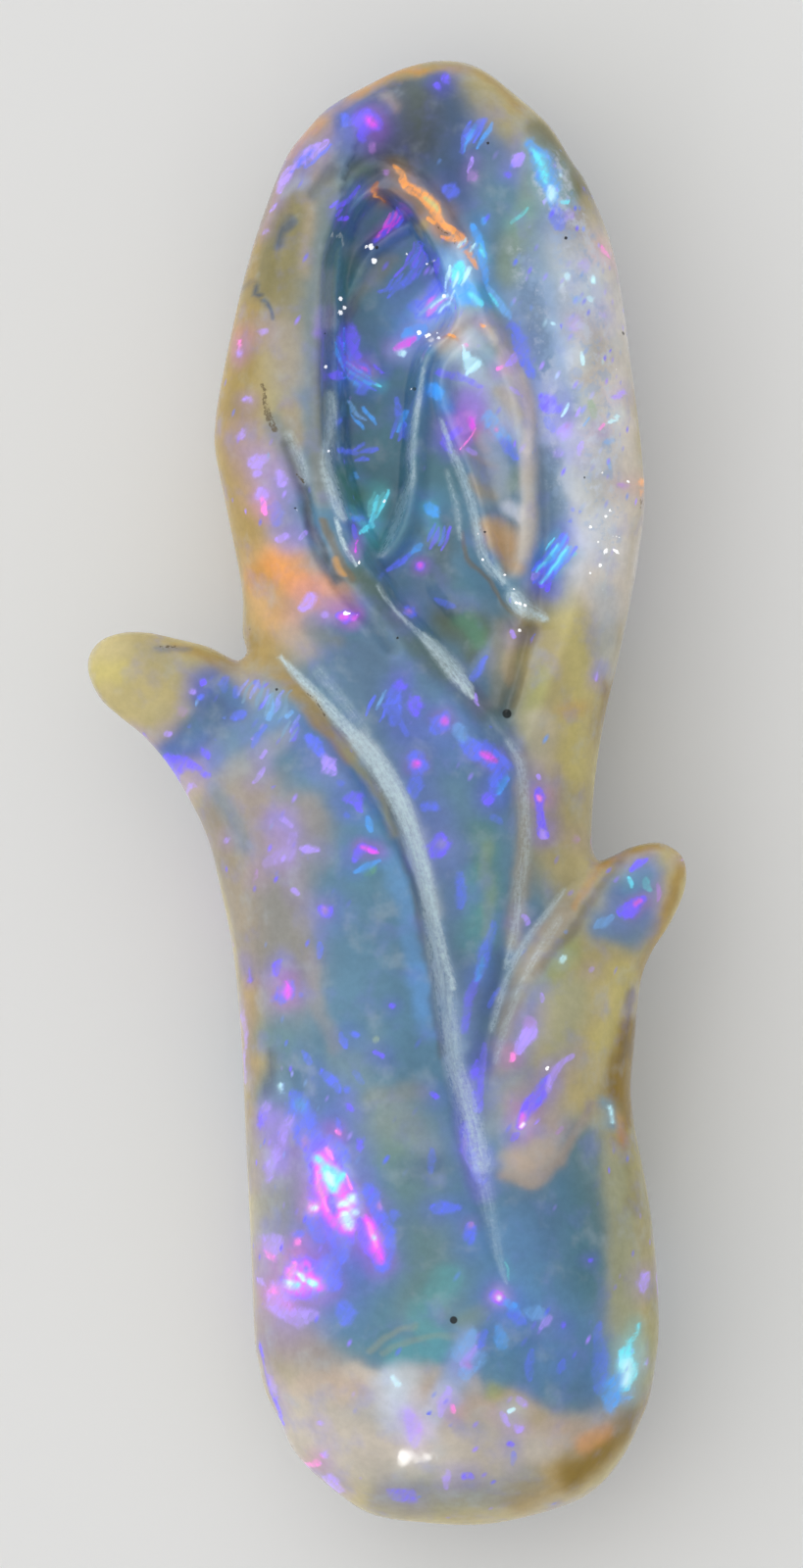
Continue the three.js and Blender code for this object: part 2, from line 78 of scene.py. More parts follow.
OUTLINE = [
    (1.4, 18.7), (2.35, 18.5), (3.4, 17.7), (4.15, 17), (4.65, 16.2), (5.1, 15.5), (5.7, 14),
    (6, 12.45), (6.2, 10.95), (6.4, 9.45), (6.55, 7.7), (6.45, 6.45), (6.2, 4.95), (5.9, 3.5),
    (5.55, 2), (5.3, 0.45), (5.2, -1), (5.25, -1.5), (5.4, -1.7), (5.7, -1.6), (6.25, -1.35),
    (6.9, -1.25), (7.4, -1.5), (7.6, -1.9), (7.55, -2.5), (7.2, -3.3), (6.75, -4), (6.45, -4.8),
    (6.3, -6.3), (6.2, -7.5), (6.3, -8.5), (6.6, -10), (6.8, -11.4), (6.9, -12.8), (6.9, -14),
    (6.7, -15.3), (6.45, -16), (6.1, -16.75), (5.6, -17.45), (4.9, -18), (3.75, -18.4),
    (2.4, -18.65), (0.9, -18.6), (-0.5, -18.35), (-1.7, -17.5), (-2.4, -16.75), (-2.75, -16),
    (-3.1, -15.3), (-3.3, -14.5), (-3.4, -13.8), (-3.5, -11.3), (-3.6, -9.3), (-3.7, -7),
    (-3.8, -5.5), (-3.95, -4), (-4.25, -2.5), (-4.65, -1), (-5.4, 0.45), (-6.15, 1.4),
    (-6.75, 1.9), (-7.3, 2.4), (-7.6, 3), (-7.6, 3.5), (-7.3, 3.9), (-6.75, 4.1), (-6.1, 4.1),
    (-5.4, 3.95), (-4.6, 3.75), (-4.1, 3.5), (-3.8, 3.4), (-3.6, 3.6), (-3.7, 4.1), (-3.7, 4.95),
    (-3.8, 5.7), (-4.1, 7.2), (-4.4, 8.7), (-4.4, 9.45), (-4.3, 10.2), (-4, 11.7), (-3.65, 13.2),
    (-3.2, 14.7), (-2.6, 16.2), (-2, 17), (-1.5, 17.5), (-0.65, 18), (0.4, 18.5),
]

# Carved overlaps: rows of (x, y, depth, floor width, shoulder width), lower on the left hand
LEFT_LEAF_EDGE = [
    (-4.75, 4.2, 0, 0.2, 0.5), (-3.7, 3.5, 0.35, 0.2, 0.6), (-2.6, 3, 0.5, 0.25, 0.75),
    (-1.6, 2, 0.75, 0.35, 0.75), (-0.6, 0.7, 0.9, 0.5, 0.65), (0.1, -0.5, 0.9, 0.55, 0.55),
    (0.75, -1.75, 0.9, 0.45, 0.5), (1.1, -3, 0.85, 0.4, 0.45), (1.4, -4.3, 0.75, 0.35, 0.4),
    (1.55, -5.8, 0.65, 0.3, 0.4), (1.75, -7.3, 0.5, 0.3, 0.4), (2, -8.8, 0.35, 0.25, 0.35),
    (2.25, -10, 0.25, 0.2, 0.3), (2.6, -11.3, 0.12, 0.15, 0.3), (2.9, -12.3, 0, 0.15, 0.3),
]
HOOD_MARGIN = [
    (-1.25, 15.2, 0, 0.2, 0.4), (-1.7, 13.7, 0, 0.2, 0.4), (-1.8, 11.95, 0, 0.2, 0.4),
    (-1.8, 10.2, 0, 0.2, 0.4), (-1.7, 8.7, 0, 0.2, 0.4), (-1.25, 7.2, 0, 0.2, 0.4),
    (-0.75, 5.95, 0.1, 0.2, 0.6), (-0.25, 5.3, 0.2, 0.2, 0.7), (0.1, 4.7, 0.3, 0.3, 0.75),
    (0.75, 4, 0.35, 0.45, 0.8), (1.5, 3.1, 0.4, 0.55, 0.8), (2.1, 2.4, 0.4, 0.4, 0.7),
    (2.8, 1.5, 0.35, 0.25, 0.55), (3.25, 0.45, 0.35, 0.3, 0.5), (3.4, -0.9, 0.35, 0.3, 0.5),
    (3.4, -2.25, 0.32, 0.3, 0.5), (3.1, -3.5, 0.3, 0.2, 0.5), (2.8, -4.8, 0.25, 0.2, 0.4),
    (2.5, -6, 0.15, 0.15, 0.4), (2.3, -7.3, 0, 0.15, 0.4),
]
RIGHT_LEAF_EDGE = [
    (5.75, -7.8, 0, 0.15, 0.4), (5.4, -8.5, 0.08, 0.15, 0.5), (4.9, -9.4, 0.1, 0.15, 0.6),
    (4.1, -9.9, 0.12, 0.15, 0.6), (3.4, -9.95, 0.12, 0.15, 0.6), (2.8, -9.65, 0.15, 0.15, 0.6),
    (2.55, -8.8, 0.2, 0.2, 0.6), (2.45, -7.4, 0.3, 0.2, 0.7), (2.6, -6.15, 0.4, 0.25, 0.75),
    (2.8, -5.3, 0.5, 0.25, 0.8), (3.15, -4.35, 0.6, 0.25, 0.85), (3.8, -3.3, 0.65, 0.25, 0.85),
    (4.5, -2.4, 0.6, 0.25, 0.7), (5, -2, 0.4, 0.2, 0.5), (6.1, -0.9, 0, 0.2, 0.5),
]

# The hood's hollow: its outer crest as (x, y, wall width), and rows of (y, depth)
HOOD_CREST = [
    (-1.9, 14.6, 0.9), (-1.5, 15.85, 1.2), (-0.75, 17.2, 1.7), (0.6, 17.9, 2.1), (1.9, 17.85, 2.2),
    (3.4, 16.7, 2.2), (4.5, 15, 2.2), (5.1, 12.7, 2.2), (5.4, 10.2, 2.1), (5.5, 7.7, 1.9),
    (5.2, 5.45, 1.6), (4.6, 3.7, 1.1), (3.9, 2, 0.7), (3.5, 1.1, 0.5), (3, 0.1, 0.4), (2.4, -1, 0.4),
]
HOLLOW_WALL = 0.4
HOLLOW_DEPTH = [(16.5, 1.0), (14, 1.3), (8, 1.35), (5, 1.1), (3, 0.65), (1.4, 0.3), (0, 0)]

# Bud and inner petal: outlines, heights and wall widths
BUD_RIM = [
    (-1.4, 14), (-1.1, 15.1), (-0.6, 15.7), (-0.05, 16.05), (0.75, 15.7), (1.55, 14.6), (2.1, 13.5),
    (2.6, 12.1), (2.1, 11.6), (1.4, 11.1), (1.2, 10.2), (1.1, 8.95), (1, 7.45), (0.6, 6.2),
    (-0.1, 5.6), (-0.8, 6.1), (-1.25, 7.2), (-1.55, 8.7), (-1.6, 10.2), (-1.6, 12.2),
]
BUD_RISE = 0.35
BUD_EDGE = 0.45
BUD_PIT = [
    (-1.05, 14.7), (-0.25, 15.45), (0.55, 15), (1.2, 14), (1.6, 13.1), (1.85, 12.3), (1.6, 11.65),
    (1.05, 11.15), (0.8, 10.2), (0.7, 8.95), (0.6, 7.45), (0.25, 6.5), (-0.2, 6), (-0.7, 6.6),
    (-1.1, 7.7), (-1.3, 8.95), (-1.35, 10.2), (-1.4, 11.45), (-1.35, 13.2),
]
PIT_DEPTH = 1.15
PIT_WALL = 0.35
PETAL = [
    (2.4, 12.2), (3, 11.6), (3.6, 10.2), (3.95, 8.7), (4.05, 6.95), (3.95, 5.45), (3.7, 4.35),
    (3.25, 4.2), (2.75, 5.1), (2.3, 6.2), (2, 7.45), (1.6, 8.45), (1.25, 9.35), (1, 10.35),
    (1.3, 11.3),
]
PETAL_RISE = 0.5
PETAL_EDGE = 0.4
PETAL_HOLLOW = [
    (2.15, 11.45), (2.75, 11.1), (3.15, 10.2), (3.4, 8.95), (3.5, 7.2), (3.4, 5.85), (3, 5.4),
    (2.6, 6.05), (2.4, 6.95), (2.1, 8.2), (1.75, 9.2), (1.4, 9.95), (1.4, 10.85),
]
PETAL_DEPTH = 0.45
PETAL_WALL = 0.45

# Ridges and cuts: height, half width and path
BUD_RIDGE = [
    (-0.95, 15.5), (-0.6, 15.85), (-0.1, 16), (0.75, 15.6), (1.5, 14.6), (2, 13.6), (2.4, 12.45),
    (2.75, 11.6),
]
PIT_RIDGE = [(-1.3, 11.85), (-1, 12.7), (-0.5, 13.7), (0.1, 14.25), (0.45, 14.45)]
NECK_CUT = [(3.6, 4.2), (3.3, 3.2), (3, 2.1)]
STALK_CREASE = [(-2.75, -7.3), (-2.9, -9), (-3.1, -11)]
LEAF_CREASE = [(6.1, -4.9), (5.85, -6), (5.7, -7.8), (5.95, -9.6)]
HOOD_LIP_CUT = [(-2.5, 8.85), (-2.1, 7.6), (-1.75, 6.2), (-1.25, 5.3), (-0.55, 4.5), (0.1, 3.7)]
PETAL_KNOB = [(3.15, 4.9), (3.6, 4.5)]
THROAT_SWELL = [(1.7, 5.4), (2.2, 4.6), (2.75, 3.3)]
RIDGES = [
    (0.3, 0.28, BUD_RIDGE), (0.25, 0.3, PIT_RIDGE), (-0.3, 0.3, NECK_CUT),
    (-0.15, 0.7, STALK_CREASE), (-0.25, 0.5, LEAF_CREASE), (-0.22, 0.3, HOOD_LIP_CUT),
    (0.25, 0.4, PETAL_KNOB), (0.35, 1.0, THROAT_SWELL),
]

# Colours, as they look in plain light
PALETTE = {
    "gold": "B2985A", "amber": "C99548", "orange": "F5A24C", "rust": "A8683C", "cream": "C0B27E",
    "olive": "ABA36C", "lime": "A4AC5E", "tan": "A6977C", "bark": "7A6B50", "rose": "A69A90",
    "blush": "BFAC9A", "mist": "9CA3A6", "milk": "B4C0CC", "pearl": "C6BDB0", "slate": "52718E",
    "steel": "6B8BA6", "deep slate": "42597A", "smoke": "555F69", "pit": "4C7C88", "teal": "558290",
    "sea": "5C86A0", "aqua": "5FB0B4", "moss": "59694F", "fern": "558A70", "sage": "8CA088",
    "sky": "6AA0D8", "azure": "459CF2", "cyan": "66E2F6", "ice": "C6F4FF", "indigo": "5568E4",
    "violet": "6A56F4", "lilac": "A88CF2", "mauve": "A878C8", "magenta": "E24CE6", "pink": "F47CD4",
    "white": "FFFFFF", "soil": "5E4E30", "black": "0A0808", "khaki": "B4A87A", "ash": "7E8684",
    "frost": "DBF0F8", "periwinkle": "7F88E0", "pool": "B0D4FC", "hay": "8C8464", "honey": "8F7318",
    "stone": "988F86", "drab": "847C42", "straw": "C8BC72", "snow": "D0D8E6", "powder": "9AB4D8",
    "fog": "72909C", "pistachio": "A6A886", "ivory": "E4DACE", "apricot": "D2AE7C",
}

# Soft colour in the stone, with some painted shade, highlights and edge glow, painted in this order:
# colour, radius, strength, path
WASHES = [
    # Hood: warm left side, slate top, blue then milky right side
    ("hay", 0.9, 1, [(-2.4, 16), (-2.9, 14.2), (-3, 12.2)]),
    ("khaki", 0.7, 0.8, [(-3, 11), (-3, 10), (-3, 8.5)]),
    ("gold", 0.75, 1, [(-3.9, 12), (-4, 10), (-3.9, 8.2), (-3.6, 6.4), (-3.2, 4.8), (-3.3, 4)]),
    ("apricot", 0.7, 0.85, [(-3.1, 5.6), (-2.5, 5.2), (-1.9, 4.9)]),
    ("orange", 0.5, 0.75, [(-2.8, 5.7), (-2.2, 5.3), (-1.7, 5), (-1.3, 4.8)]),
    ("amber", 0.4, 0.85, [(-3.4, 5.4), (-3.05, 5), (-2.8, 4.6)]),
    ("drab", 0.4, 0.3, [(-3.6, 11), (-3.7, 9.8), (-3.6, 8.8)]),
    ("slate", 1.0, 1, [(-0.5, 17.3), (0.2, 17), (1.1, 17.5), (1.8, 16.8), (2.4, 15.9)]),
    ("deep slate", 0.6, 0.8, [(1.3, 17.9), (1.6, 17), (1.2, 16.2), (1.9, 15.6)]),
    ("smoke", 0.6, 1, [(0.3, 17.7), (0.65, 17.3), (0.6, 16.7)]),
    ("moss", 0.4, 0.5, [(0.5, 17.6), (0.6, 17.1)]),
    ("khaki", 0.6, 0.95, [(2.6, 18), (3.2, 17.4), (3.9, 16.6), (4.7, 15.9), (5.2, 14.6), (5.8, 13)]),
    ("drab", 0.32, 1, [(3.9, 17), (4.3, 16.4), (4.8, 15.5)]),
    ("drab", 0.5, 0.5, [(-2.5, 15.6), (-2.7, 14), (-2.9, 13)]),
    ("steel", 0.8, 1, [(2.9, 15.2), (3.2, 14), (3.5, 12.6), (3.9, 11.3), (4.2, 10.2), (4.3, 8.6),
        (4.3, 7)]),
    ("pearl", 0.8, 0.9, [(5.2, 13.8), (5.4, 12), (5.5, 10), (5.6, 8), (5.5, 6.4), (5.4, 4.8)]),
    ("milk", 0.7, 0.6, [(4.5, 13.8), (4.6, 12.6), (4.7, 10.5), (5, 8.4), (4.9, 6.8)]),
    ("powder", 0.6, 0.9, [(3.6, 12.6), (4, 11.3), (4.25, 10), (4.35, 8.6), (4.3, 7)]),
    ("snow", 0.35, 0.6, [(4.3, 10.4), (4.4, 8.6), (4.5, 7.2)]),
    ("snow", 0.55, 0.6, [(5.2, 12.6), (5.2, 11), (5.2, 9.4), (5.2, 7.6), (5.1, 5.8)]),
    ("ivory", 0.5, 0.6, [(5.7, 10.5), (5.9, 9), (5.9, 7.6), (5.7, 6.2), (5.4, 5)]),
    ("snow", 0.4, 0.8, [(5.6, 6.9), (5.65, 6)]),
    ("ivory", 0.4, 0.6, [(6, 9.4), (6, 8), (5.9, 6.8), (5.6, 4.9)]),
    ("snow", 0.6, 0.5, [(5.1, 13.3), (5.5, 12)]),
    ("cream", 0.4, 0.3, [(5.6, 11.4), (5.3, 10.4), (5.1, 8.6), (4.9, 7.2)]),
    ("cream", 0.25, 0.4, [(5.2, 14.4), (5.4, 13.9)]), ("snow", 0.45, 0.3, [(5.8, 11.2), (5.5, 10)]),
    ("ivory", 0.38, 0.45, [(5.3, 14.2), (5.6, 12.8), (5.8, 11.4), (5.6, 10)]),
    ("steel", 0.35, 0.5, [(4.55, 10.4), (4.65, 9.7)]),
    ("blush", 0.35, 0.4, [(4.8, 11.9), (5.2, 11.5), (5, 10.6)]),
    ("teal", 0.4, 0.6, [(2.8, 15.4), (3.1, 14.7), (3, 13.8)]),
    ("sage", 0.35, 0.7, [(3.7, 15.6), (3.6, 14.9), (3.3, 14), (3.1, 13.2)]),
    ("slate", 0.3, 0.6, [(3.6, 12.8), (3.8, 11.8), (4, 10.9)]),
    ("tan", 0.13, 0.6, [(-0.05, 17.75), (0.2, 17.5)]),
    ("tan", 0.25, 0.9, [(-1.55, 17.1), (-1.6, 16.2), (-1.9, 14.9), (-2, 13.4)]),
    ("slate", 0.3, 0.8, [(-1.1, 17.1), (-1.15, 16.4), (-1.1, 15.9)]),
    ("smoke", 0.35, 0.7, [(-0.1, 16.4), (0.5, 16.3)]),
    ("moss", 0.3, 0.7, [(-0.8, 15.8), (-0.3, 16.05), (0.2, 15.95)]),
    ("smoke", 0.22, 0.8, [(-1.5, 15.9), (-1.85, 15.3)]),
    ("smoke", 0.12, 0.95, [(-2.5, 14.65), (-2.75, 14.25), (-2.8, 13.9)]),
    ("smoke", 0.065, 1, [(-3.55, 13.1), (-3.42, 12.8), (-3.15, 12.55), (-2.95, 12.3), (-2.9, 12.05)]),
    ("ash", 0.3, 1, [(-1.5, 15.2), (-1.65, 14), (-1.7, 12.6), (-1.75, 11), (-1.75, 9), (-1.65, 7.6)]),
    ("lilac", 0.15, 0.7, [(-1.6, 12.3), (-1.75, 11.7)]), ("rose", 0.4, 0.6, [(-2.6, 11.7), (-2.5, 10.6)]),
    ("milk", 0.2, 0.5, [(-2.6, 15.4), (-2.2, 15.55)]), ("tan", 0.25, 0.8, [(-2.5, 9.8), (-2.3, 8.9)]),
    ("ash", 0.25, 0.8, [(-2.9, 9.4), (-2.5, 8.6), (-2.3, 7.9)]),
    # Painted shade: this smoke line and the moss band below it darken the fold where the middle petal drops
    # under the hood's lip
    ("smoke", 0.13, 0.9, [(-2.2, 7.8), (-2, 6.9), (-1.6, 6), (-1.3, 5.4)]),
    ("lilac", 0.35, 0.25, [(-3.2, 8.6), (-2.8, 7.9), (-2.7, 7), (-2.4, 6.4)]),
    # Painted shade along the middle petal's fold edge
    ("moss", 0.3, 0.8, [(-0.9, 5.6), (-0.4, 5.2), (0.2, 4.3), (0.9, 3.5), (1.7, 2.8), (2.4, 2.1)]),
    ("bark", 0.1, 0.8, [(-1.6, 6.9), (-1.35, 6.2), (-1, 5.5)]),
    ("amber", 0.06, 0.8, [(-1.35, 6), (-1.2, 5.6)]),
    # Rims, thin and warm: partly the stone's own tone, partly a painted glow of light through the thin
    # edges
    ("gold", 0.16, 0.8, [(-4.4, 9), (-4.05, 11.7), (-3.65, 13.2), (-3.15, 14.8), (-2.5, 16.1), (-1.3, 17.5),
        (0.1, 18.3), (1.3, 18.6), (2.4, 18.35), (3.4, 17.5)]),
    ("amber", 0.08, 0.7, [(-2.4, 16.3), (-1.3, 17.55), (0.1, 18.35), (0.8, 18.5)]),
    ("gold", 0.2, 0.7, [(6.1, 4.2), (5.8, 2.6), (5.4, 1), (5.25, -0.6), (5.3, -1.4)]),
    ("honey", 0.3, 0.9, [(5.7, 2.6), (5.35, 1), (5.22, -0.6), (5.25, -1.4)]),
    # Bud pit and its walls
    ("pit", 0.75, 1, [(-0.7, 14.2), (-0.8, 13), (-0.5, 11), (-0.4, 9.5), (-0.4, 8), (-0.4, 6.8)]),
    ("sea", 0.5, 1, [(0.6, 14), (0.3, 13.2), (0.3, 12.2)]), ("pit", 0.4, 0.4, [(-0.9, 14.3), (-1, 13.2)]),
    ("sky", 0.5, 1, [(1.9, 13.5), (1.6, 12.8), (1.1, 12.3), (0.8, 11.8)]),
    ("pool", 0.5, 1, [(1.9, 13.3), (1.7, 12.8), (1.3, 12.4)]),
    ("smoke", 0.3, 0.8, [(0, 15.1), (0.5, 14.9), (0.7, 14.5)]),
    ("olive", 0.12, 0.6, [(1, 14.5), (0.6, 14.1)]), ("fern", 0.22, 0.5, [(-0.6, 12), (-0.25, 11.5)]),
    ("ash", 0.2, 0.7, [(-1, 12.2), (-0.6, 12.8), (-0.3, 13.5)]),
    ("mist", 0.3, 0.3, [(-0.9, 13.8), (-0.6, 13.2)]), ("mist", 0.2, 0.5, [(-1.6, 13.2), (-1.6, 12)]),
    ("teal", 0.35, 0.7, [(0.1, 10.4), (0, 9.4), (0.1, 8.3)]), ("fern", 0.3, 0.6, [(-1, 8.1), (-0.8, 7.6)]),
    ("aqua", 0.25, 0.6, [(-0.3, 7.8), (-0.4, 7.1), (-0.35, 6.5)]),
    ("slate", 0.3, 0.6, [(-1.1, 10), (-1.1, 9.2)]), ("lilac", 0.2, 0.5, [(-0.75, 6.9), (-0.7, 6.3)]),
    ("bark", 0.12, 0.6, [(0.15, 15.3), (0.5, 15.2), (0.8, 14.8)]),
    # Valley between bud and petal, and the throat below
    ("teal", 0.5, 1, [(1.1, 9.1), (1.3, 8), (1.3, 6.8), (1.1, 5.6), (1.6, 5)]),
    ("smoke", 0.4, 0.6, [(1.3, 6.8), (1.35, 5.6)]), ("aqua", 0.2, 0.6, [(1.1, 7.3), (1.2, 6.6)]),
    ("steel", 0.3, 0.8, [(0.9, 5.1), (1.7, 4.9), (2.3, 4.7)]),
    ("moss", 0.5, 0.9, [(1.6, 4.4), (2.2, 4), (2.4, 3.5)]), ("fern", 0.25, 0.8, [(1.9, 4.4), (2.3, 3.9)]),
    ("steel", 0.15, 0.8, [(2.15, 2.9), (2.55, 3.5), (2.75, 4.1)]),
    ("ash", 0.2, 0.8, [(2.8, 4.3), (2.85, 3.3), (2.7, 2.4)]),
    ("blush", 0.13, 0.8, [(3.15, 4.1), (3.15, 3.5), (3.05, 2.9)]),
    ("smoke", 0.1, 0.8, [(3.6, 3.9), (3.35, 2.9), (3.2, 2.3)]),
    # Inner petal
    ("milk", 0.5, 1, [(2, 11.5), (2, 10.8), (2.6, 10.2), (3, 9.4)]),
    ("lilac", 0.4, 0.75, [(2.1, 9.9), (1.8, 9.3)]), ("azure", 0.2, 0.7, [(1.2, 10.3), (1.5, 9.9)]),
    ("cream", 0.2, 0.6, [(2.9, 10.2), (3.3, 9.6)]),
    ("steel", 0.35, 0.5, [(2.4, 8.5), (2.5, 7.8), (2.8, 7)]), ("mist", 0.3, 0.7, [(2.4, 8.5), (2.6, 7.6)]),
    ("tan", 0.12, 0.7, [(2.1, 8), (2.7, 7.6)]), ("tan", 0.1, 0.6, [(2.2, 8.6), (2.7, 8.3)]),
    ("blush", 0.12, 0.8, [(2.3, 9.1), (2.55, 8.8)]), ("milk", 0.3, 0.6, [(2.6, 9), (2.8, 8.4), (2.9, 7.8)]),
    ("snow", 0.16, 0.9, [(3, 7.3), (3.4, 7.15)]), ("sage", 0.2, 0.6, [(3.3, 8.2), (3.2, 7.8)]),
    ("blush", 0.35, 0.9, [(2.7, 6.6), (3.1, 6.5)]),
    ("apricot", 0.3, 0.7, [(2.7, 6.7), (3, 6.2), (3.2, 5.8)]),
    ("pearl", 0.26, 0.9, [(1.4, 11.5), (1.9, 12), (2.4, 12.15), (2.75, 11.7), (3.15, 10.9), (3.5, 10),
        (3.65, 8.8), (3.65, 7.5), (3.5, 6.2)]),
    ("ivory", 0.13, 0.6, [(2.7, 11.7), (3.15, 10.9), (3.5, 10), (3.65, 8.8)]),
    ("amber", 0.06, 0.7, [(1.4, 11.65), (1.75, 11.55)]),
    ("bark", 0.06, 0.6, [(1.9, 6.6), (2.1, 5.9), (2.8, 5), (3.6, 4.3)]),
    ("steel", 0.3, 0.9, [(4.2, 8.6), (4.2, 7), (4.1, 5.6), (3.7, 5.2)]),
    # Right neck
    ("khaki", 1.0, 1, [(4, 3.9), (4.2, 2.2), (4.4, 0.8), (4.6, -0.6), (4.8, -1.6)]),
    ("straw", 0.4, 0.6, [(4.7, 4.4), (4.9, 3.2), (4.7, 2), (4.8, 0.6)]),
    ("amber", 0.2, 0.35, [(4.5, 2.1), (4.9, 2.2)]), ("lime", 0.25, 0.5, [(3.9, 3), (3.7, 2.4), (3.8, 1.2)]),
    ("rose", 0.12, 0.6, [(4.25, 0.7), (4.35, 0), (4.2, -0.8)]),
    ("milk", 0.3, 0.5, [(5.5, 5), (5.6, 4), (5.5, 3.2)]),
    # Middle petal
    ("steel", 1.1, 0.9, [(-1, 3.8), (0.2, 2.2), (1.4, 0.6), (1.8, -1), (1.9, -2.6), (2, -4.5)]),
    ("slate", 0.7, 0.6, [(-1, 3.7), (0, 2.4), (1.2, 1.4), (2.2, 0.8), (2.7, 0.2)]),
    ("teal", 0.5, 0.6, [(1.7, 0.6), (2, -0.6)]), ("fern", 0.42, 0.6, [(2.4, -1), (2.5, -2.2), (2.4, -3.8)]),
    ("aqua", 0.35, 0.3, [(2.3, -2.2), (2.2, -3.8)]),
    ("sage", 0.16, 0.55, [(2.55, -1.3), (2.55, -2.4), (2.45, -3.6)]),
    ("apricot", 0.5, 0.8, [(-3.1, 4.8), (-2.5, 4.3)]), ("amber", 0.3, 0.3, [(-2.7, 4.6), (-2.3, 4.3)]),
    ("blush", 0.35, 0.7, [(-2.4, 4), (-2.1, 3.7)]), ("ash", 0.3, 0.7, [(-1.8, 4.3), (-1.4, 3.9)]),
    ("teal", 0.25, 0.8, [(-1.3, 4.3), (-0.8, 4.2)]),
    ("milk", 0.28, 0.7, [(-0.75, 1.3), (-0.2, 0.65), (0.1, 0.2), (0.5, -0.65), (0.84, -1.9), (1.12, -3)]),
    ("powder", 0.26, 0.6, [(1.2, -3.6), (1.45, -4.6), (1.6, -6), (1.75, -7)]),
    ("powder", 0.3, 0.35, [(2.1, -5.4), (2.1, -6.4)]),
    # Painted highlight: pearl along the ridge at x 3.85
    ("pearl", 0.35, 0.6, [(3.85, 1.9), (3.9, 1.4), (3.85, 1)]),
    ("tan", 0.2, 0.7, [(3.3, 0.9), (3.45, 0), (3.5, -1), (3.45, -1.8), (3.3, -2.8), (3.15, -3.8)]),
    ("fern", 0.2, 0.4, [(0.8, 2.8), (1.2, 2.5)]),
    # Left leaf
    # Painted highlight: the straw spot at the leaf tip, after the cream
    ("cream", 0.9, 1, [(-7, 3), (-6.3, 2.9), (-5.7, 2.7)]), ("straw", 0.3, 0.7, [(-7.1, 3.2), (-6.7, 3.1)]),
    ("gold", 0.15, 0.8, [(-5.4, 3.9), (-4.6, 3.5), (-3.9, 3.35), (-3.4, 3.5)]),
    ("ash", 0.1, 0.6, [(-5.8, 3.95), (-5.1, 3.75)]),
    ("gold", 0.2, 0.9, [(-3.6, 3.9), (-3, 3.3), (-2.3, 2.6), (-1.6, 1.8), (-1, 1)]),
    ("olive", 0.12, 0.7, [(-1.2, 1.3), (-0.4, 0.2), (0.2, -1)]),
    ("slate", 0.5, 1, [(-4.6, 2.7), (-4.2, 2.4)]),
    ("deep slate", 0.3, 0.5, [(-4.6, 2.5), (-4.4, 2), (-4.9, 1.5)]),
    ("slate", 0.4, 1, [(-4.1, 2.2), (-4.7, 1.6), (-5.3, 1.2)]),
    ("slate", 0.35, 0.9, [(-4.6, 2.4), (-4.5, 2), (-5, 1.4)]),
    ("sky", 0.25, 0.2, [(-4.8, 1.5), (-5.3, 1.2)]), ("teal", 0.2, 0.6, [(-4.1, 2.7), (-3.8, 2.3)]),
    ("steel", 0.45, 0.9, [(-4.2, 0.9), (-3.5, 1.4), (-3, 2)]),
    ("mist", 0.3, 0.7, [(-3.9, 0.6), (-3.3, 1), (-2.6, 1.4)]),
    ("rose", 0.9, 1, [(-3.4, -0.3), (-3, -1.2), (-2.8, -2.4), (-2.7, -3.6), (-2.6, -4.6)]),
    ("ash", 0.6, 0.6, [(-2.8, -2.7), (-2.7, -3.6), (-2.6, -4.4)]),
    ("stone", 0.4, 0.9, [(-4.6, -0.5), (-4.2, -1.8), (-3.8, -3.2), (-3.6, -4.4)]),
    ("steel", 0.2, 0.5, [(-4.4, 0.1), (-4, -0.5), (-3.7, -1.3)]),
    ("lilac", 0.45, 0.4, [(-2.7, -0.8), (-2.6, -1.6)]),
    ("rose", 0.45, 0.7, [(-2, -0.4), (-1.75, -0.9), (-1.75, -1.5)]),
    ("tan", 0.25, 0.45, [(-4.35, -1), (-3.95, -2.2), (-3.65, -3.4)]),
    ("gold", 0.25, 0.8, [(-3.5, -4.8), (-3.5, -6), (-3.45, -7.4), (-3.45, -8.6), (-3.4, -10)]),
    ("sea", 0.9, 1, [(-0.8, -1.8), (-0.6, -3.2), (-0.4, -4.8), (-0.2, -6.4)]),
    ("sky", 0.25, 0.5, [(0, -1.6), (0.3, -2.6), (0.65, -4), (0.95, -5.5)]),
    ("sky", 0.28, 0.5, [(0.8, -4.6), (1, -5.3), (1.1, -6)]),
    # Painted shadow: the thin smoke line along the main groove's left side, under the left leaf's edge
    ("smoke", 0.1, 0.5, [(-0.45, 0.7), (0.14, -0.6), (0.5, -1.9), (0.83, -3.2), (1.1, -4.5), (1.24, -5.7),
        (1.35, -6.6)]), ("rose", 0.2, 0.4, [(-1.9, -4.2), (-1.7, -5.4), (-1.3, -6.4)]),
    ("teal", 0.6, 0.8, [(-2.8, -6.2), (-2.3, -7), (-2.8, -7.6)]),
    ("smoke", 0.15, 0.6, [(-3, -6.6), (-3, -7.6)]),
    # Lower body
    ("mist", 0.7, 0.6, [(-3, -9), (-2.8, -10.4), (-3, -11.6)]),
    ("ash", 0.5, 0.4, [(-2.7, -10), (-2.7, -11)]), ("lilac", 0.3, 0.5, [(-2.9, -8.4), (-2.8, -9.4)]),
    ("fog", 0.8, 0.9, [(0.3, -8.2), (0.6, -10), (0.9, -11.6), (1, -13)]),
    ("tan", 0.25, 0.3, [(-0.4, -7.6), (0.8, -7.5)]), ("mist", 0.5, 0.45, [(0.2, -8.2), (0.9, -8.9)]),
    ("sage", 0.55, 0.4, [(-1, -6.9), (-0.6, -8), (0, -8.9)]),
    ("slate", 0.25, 0.5, [(0.5, -9.5), (1.2, -9.3)]),
    ("teal", 0.7, 0.8, [(-1, -12.4), (-0.6, -13.4), (-1, -13.8)]),
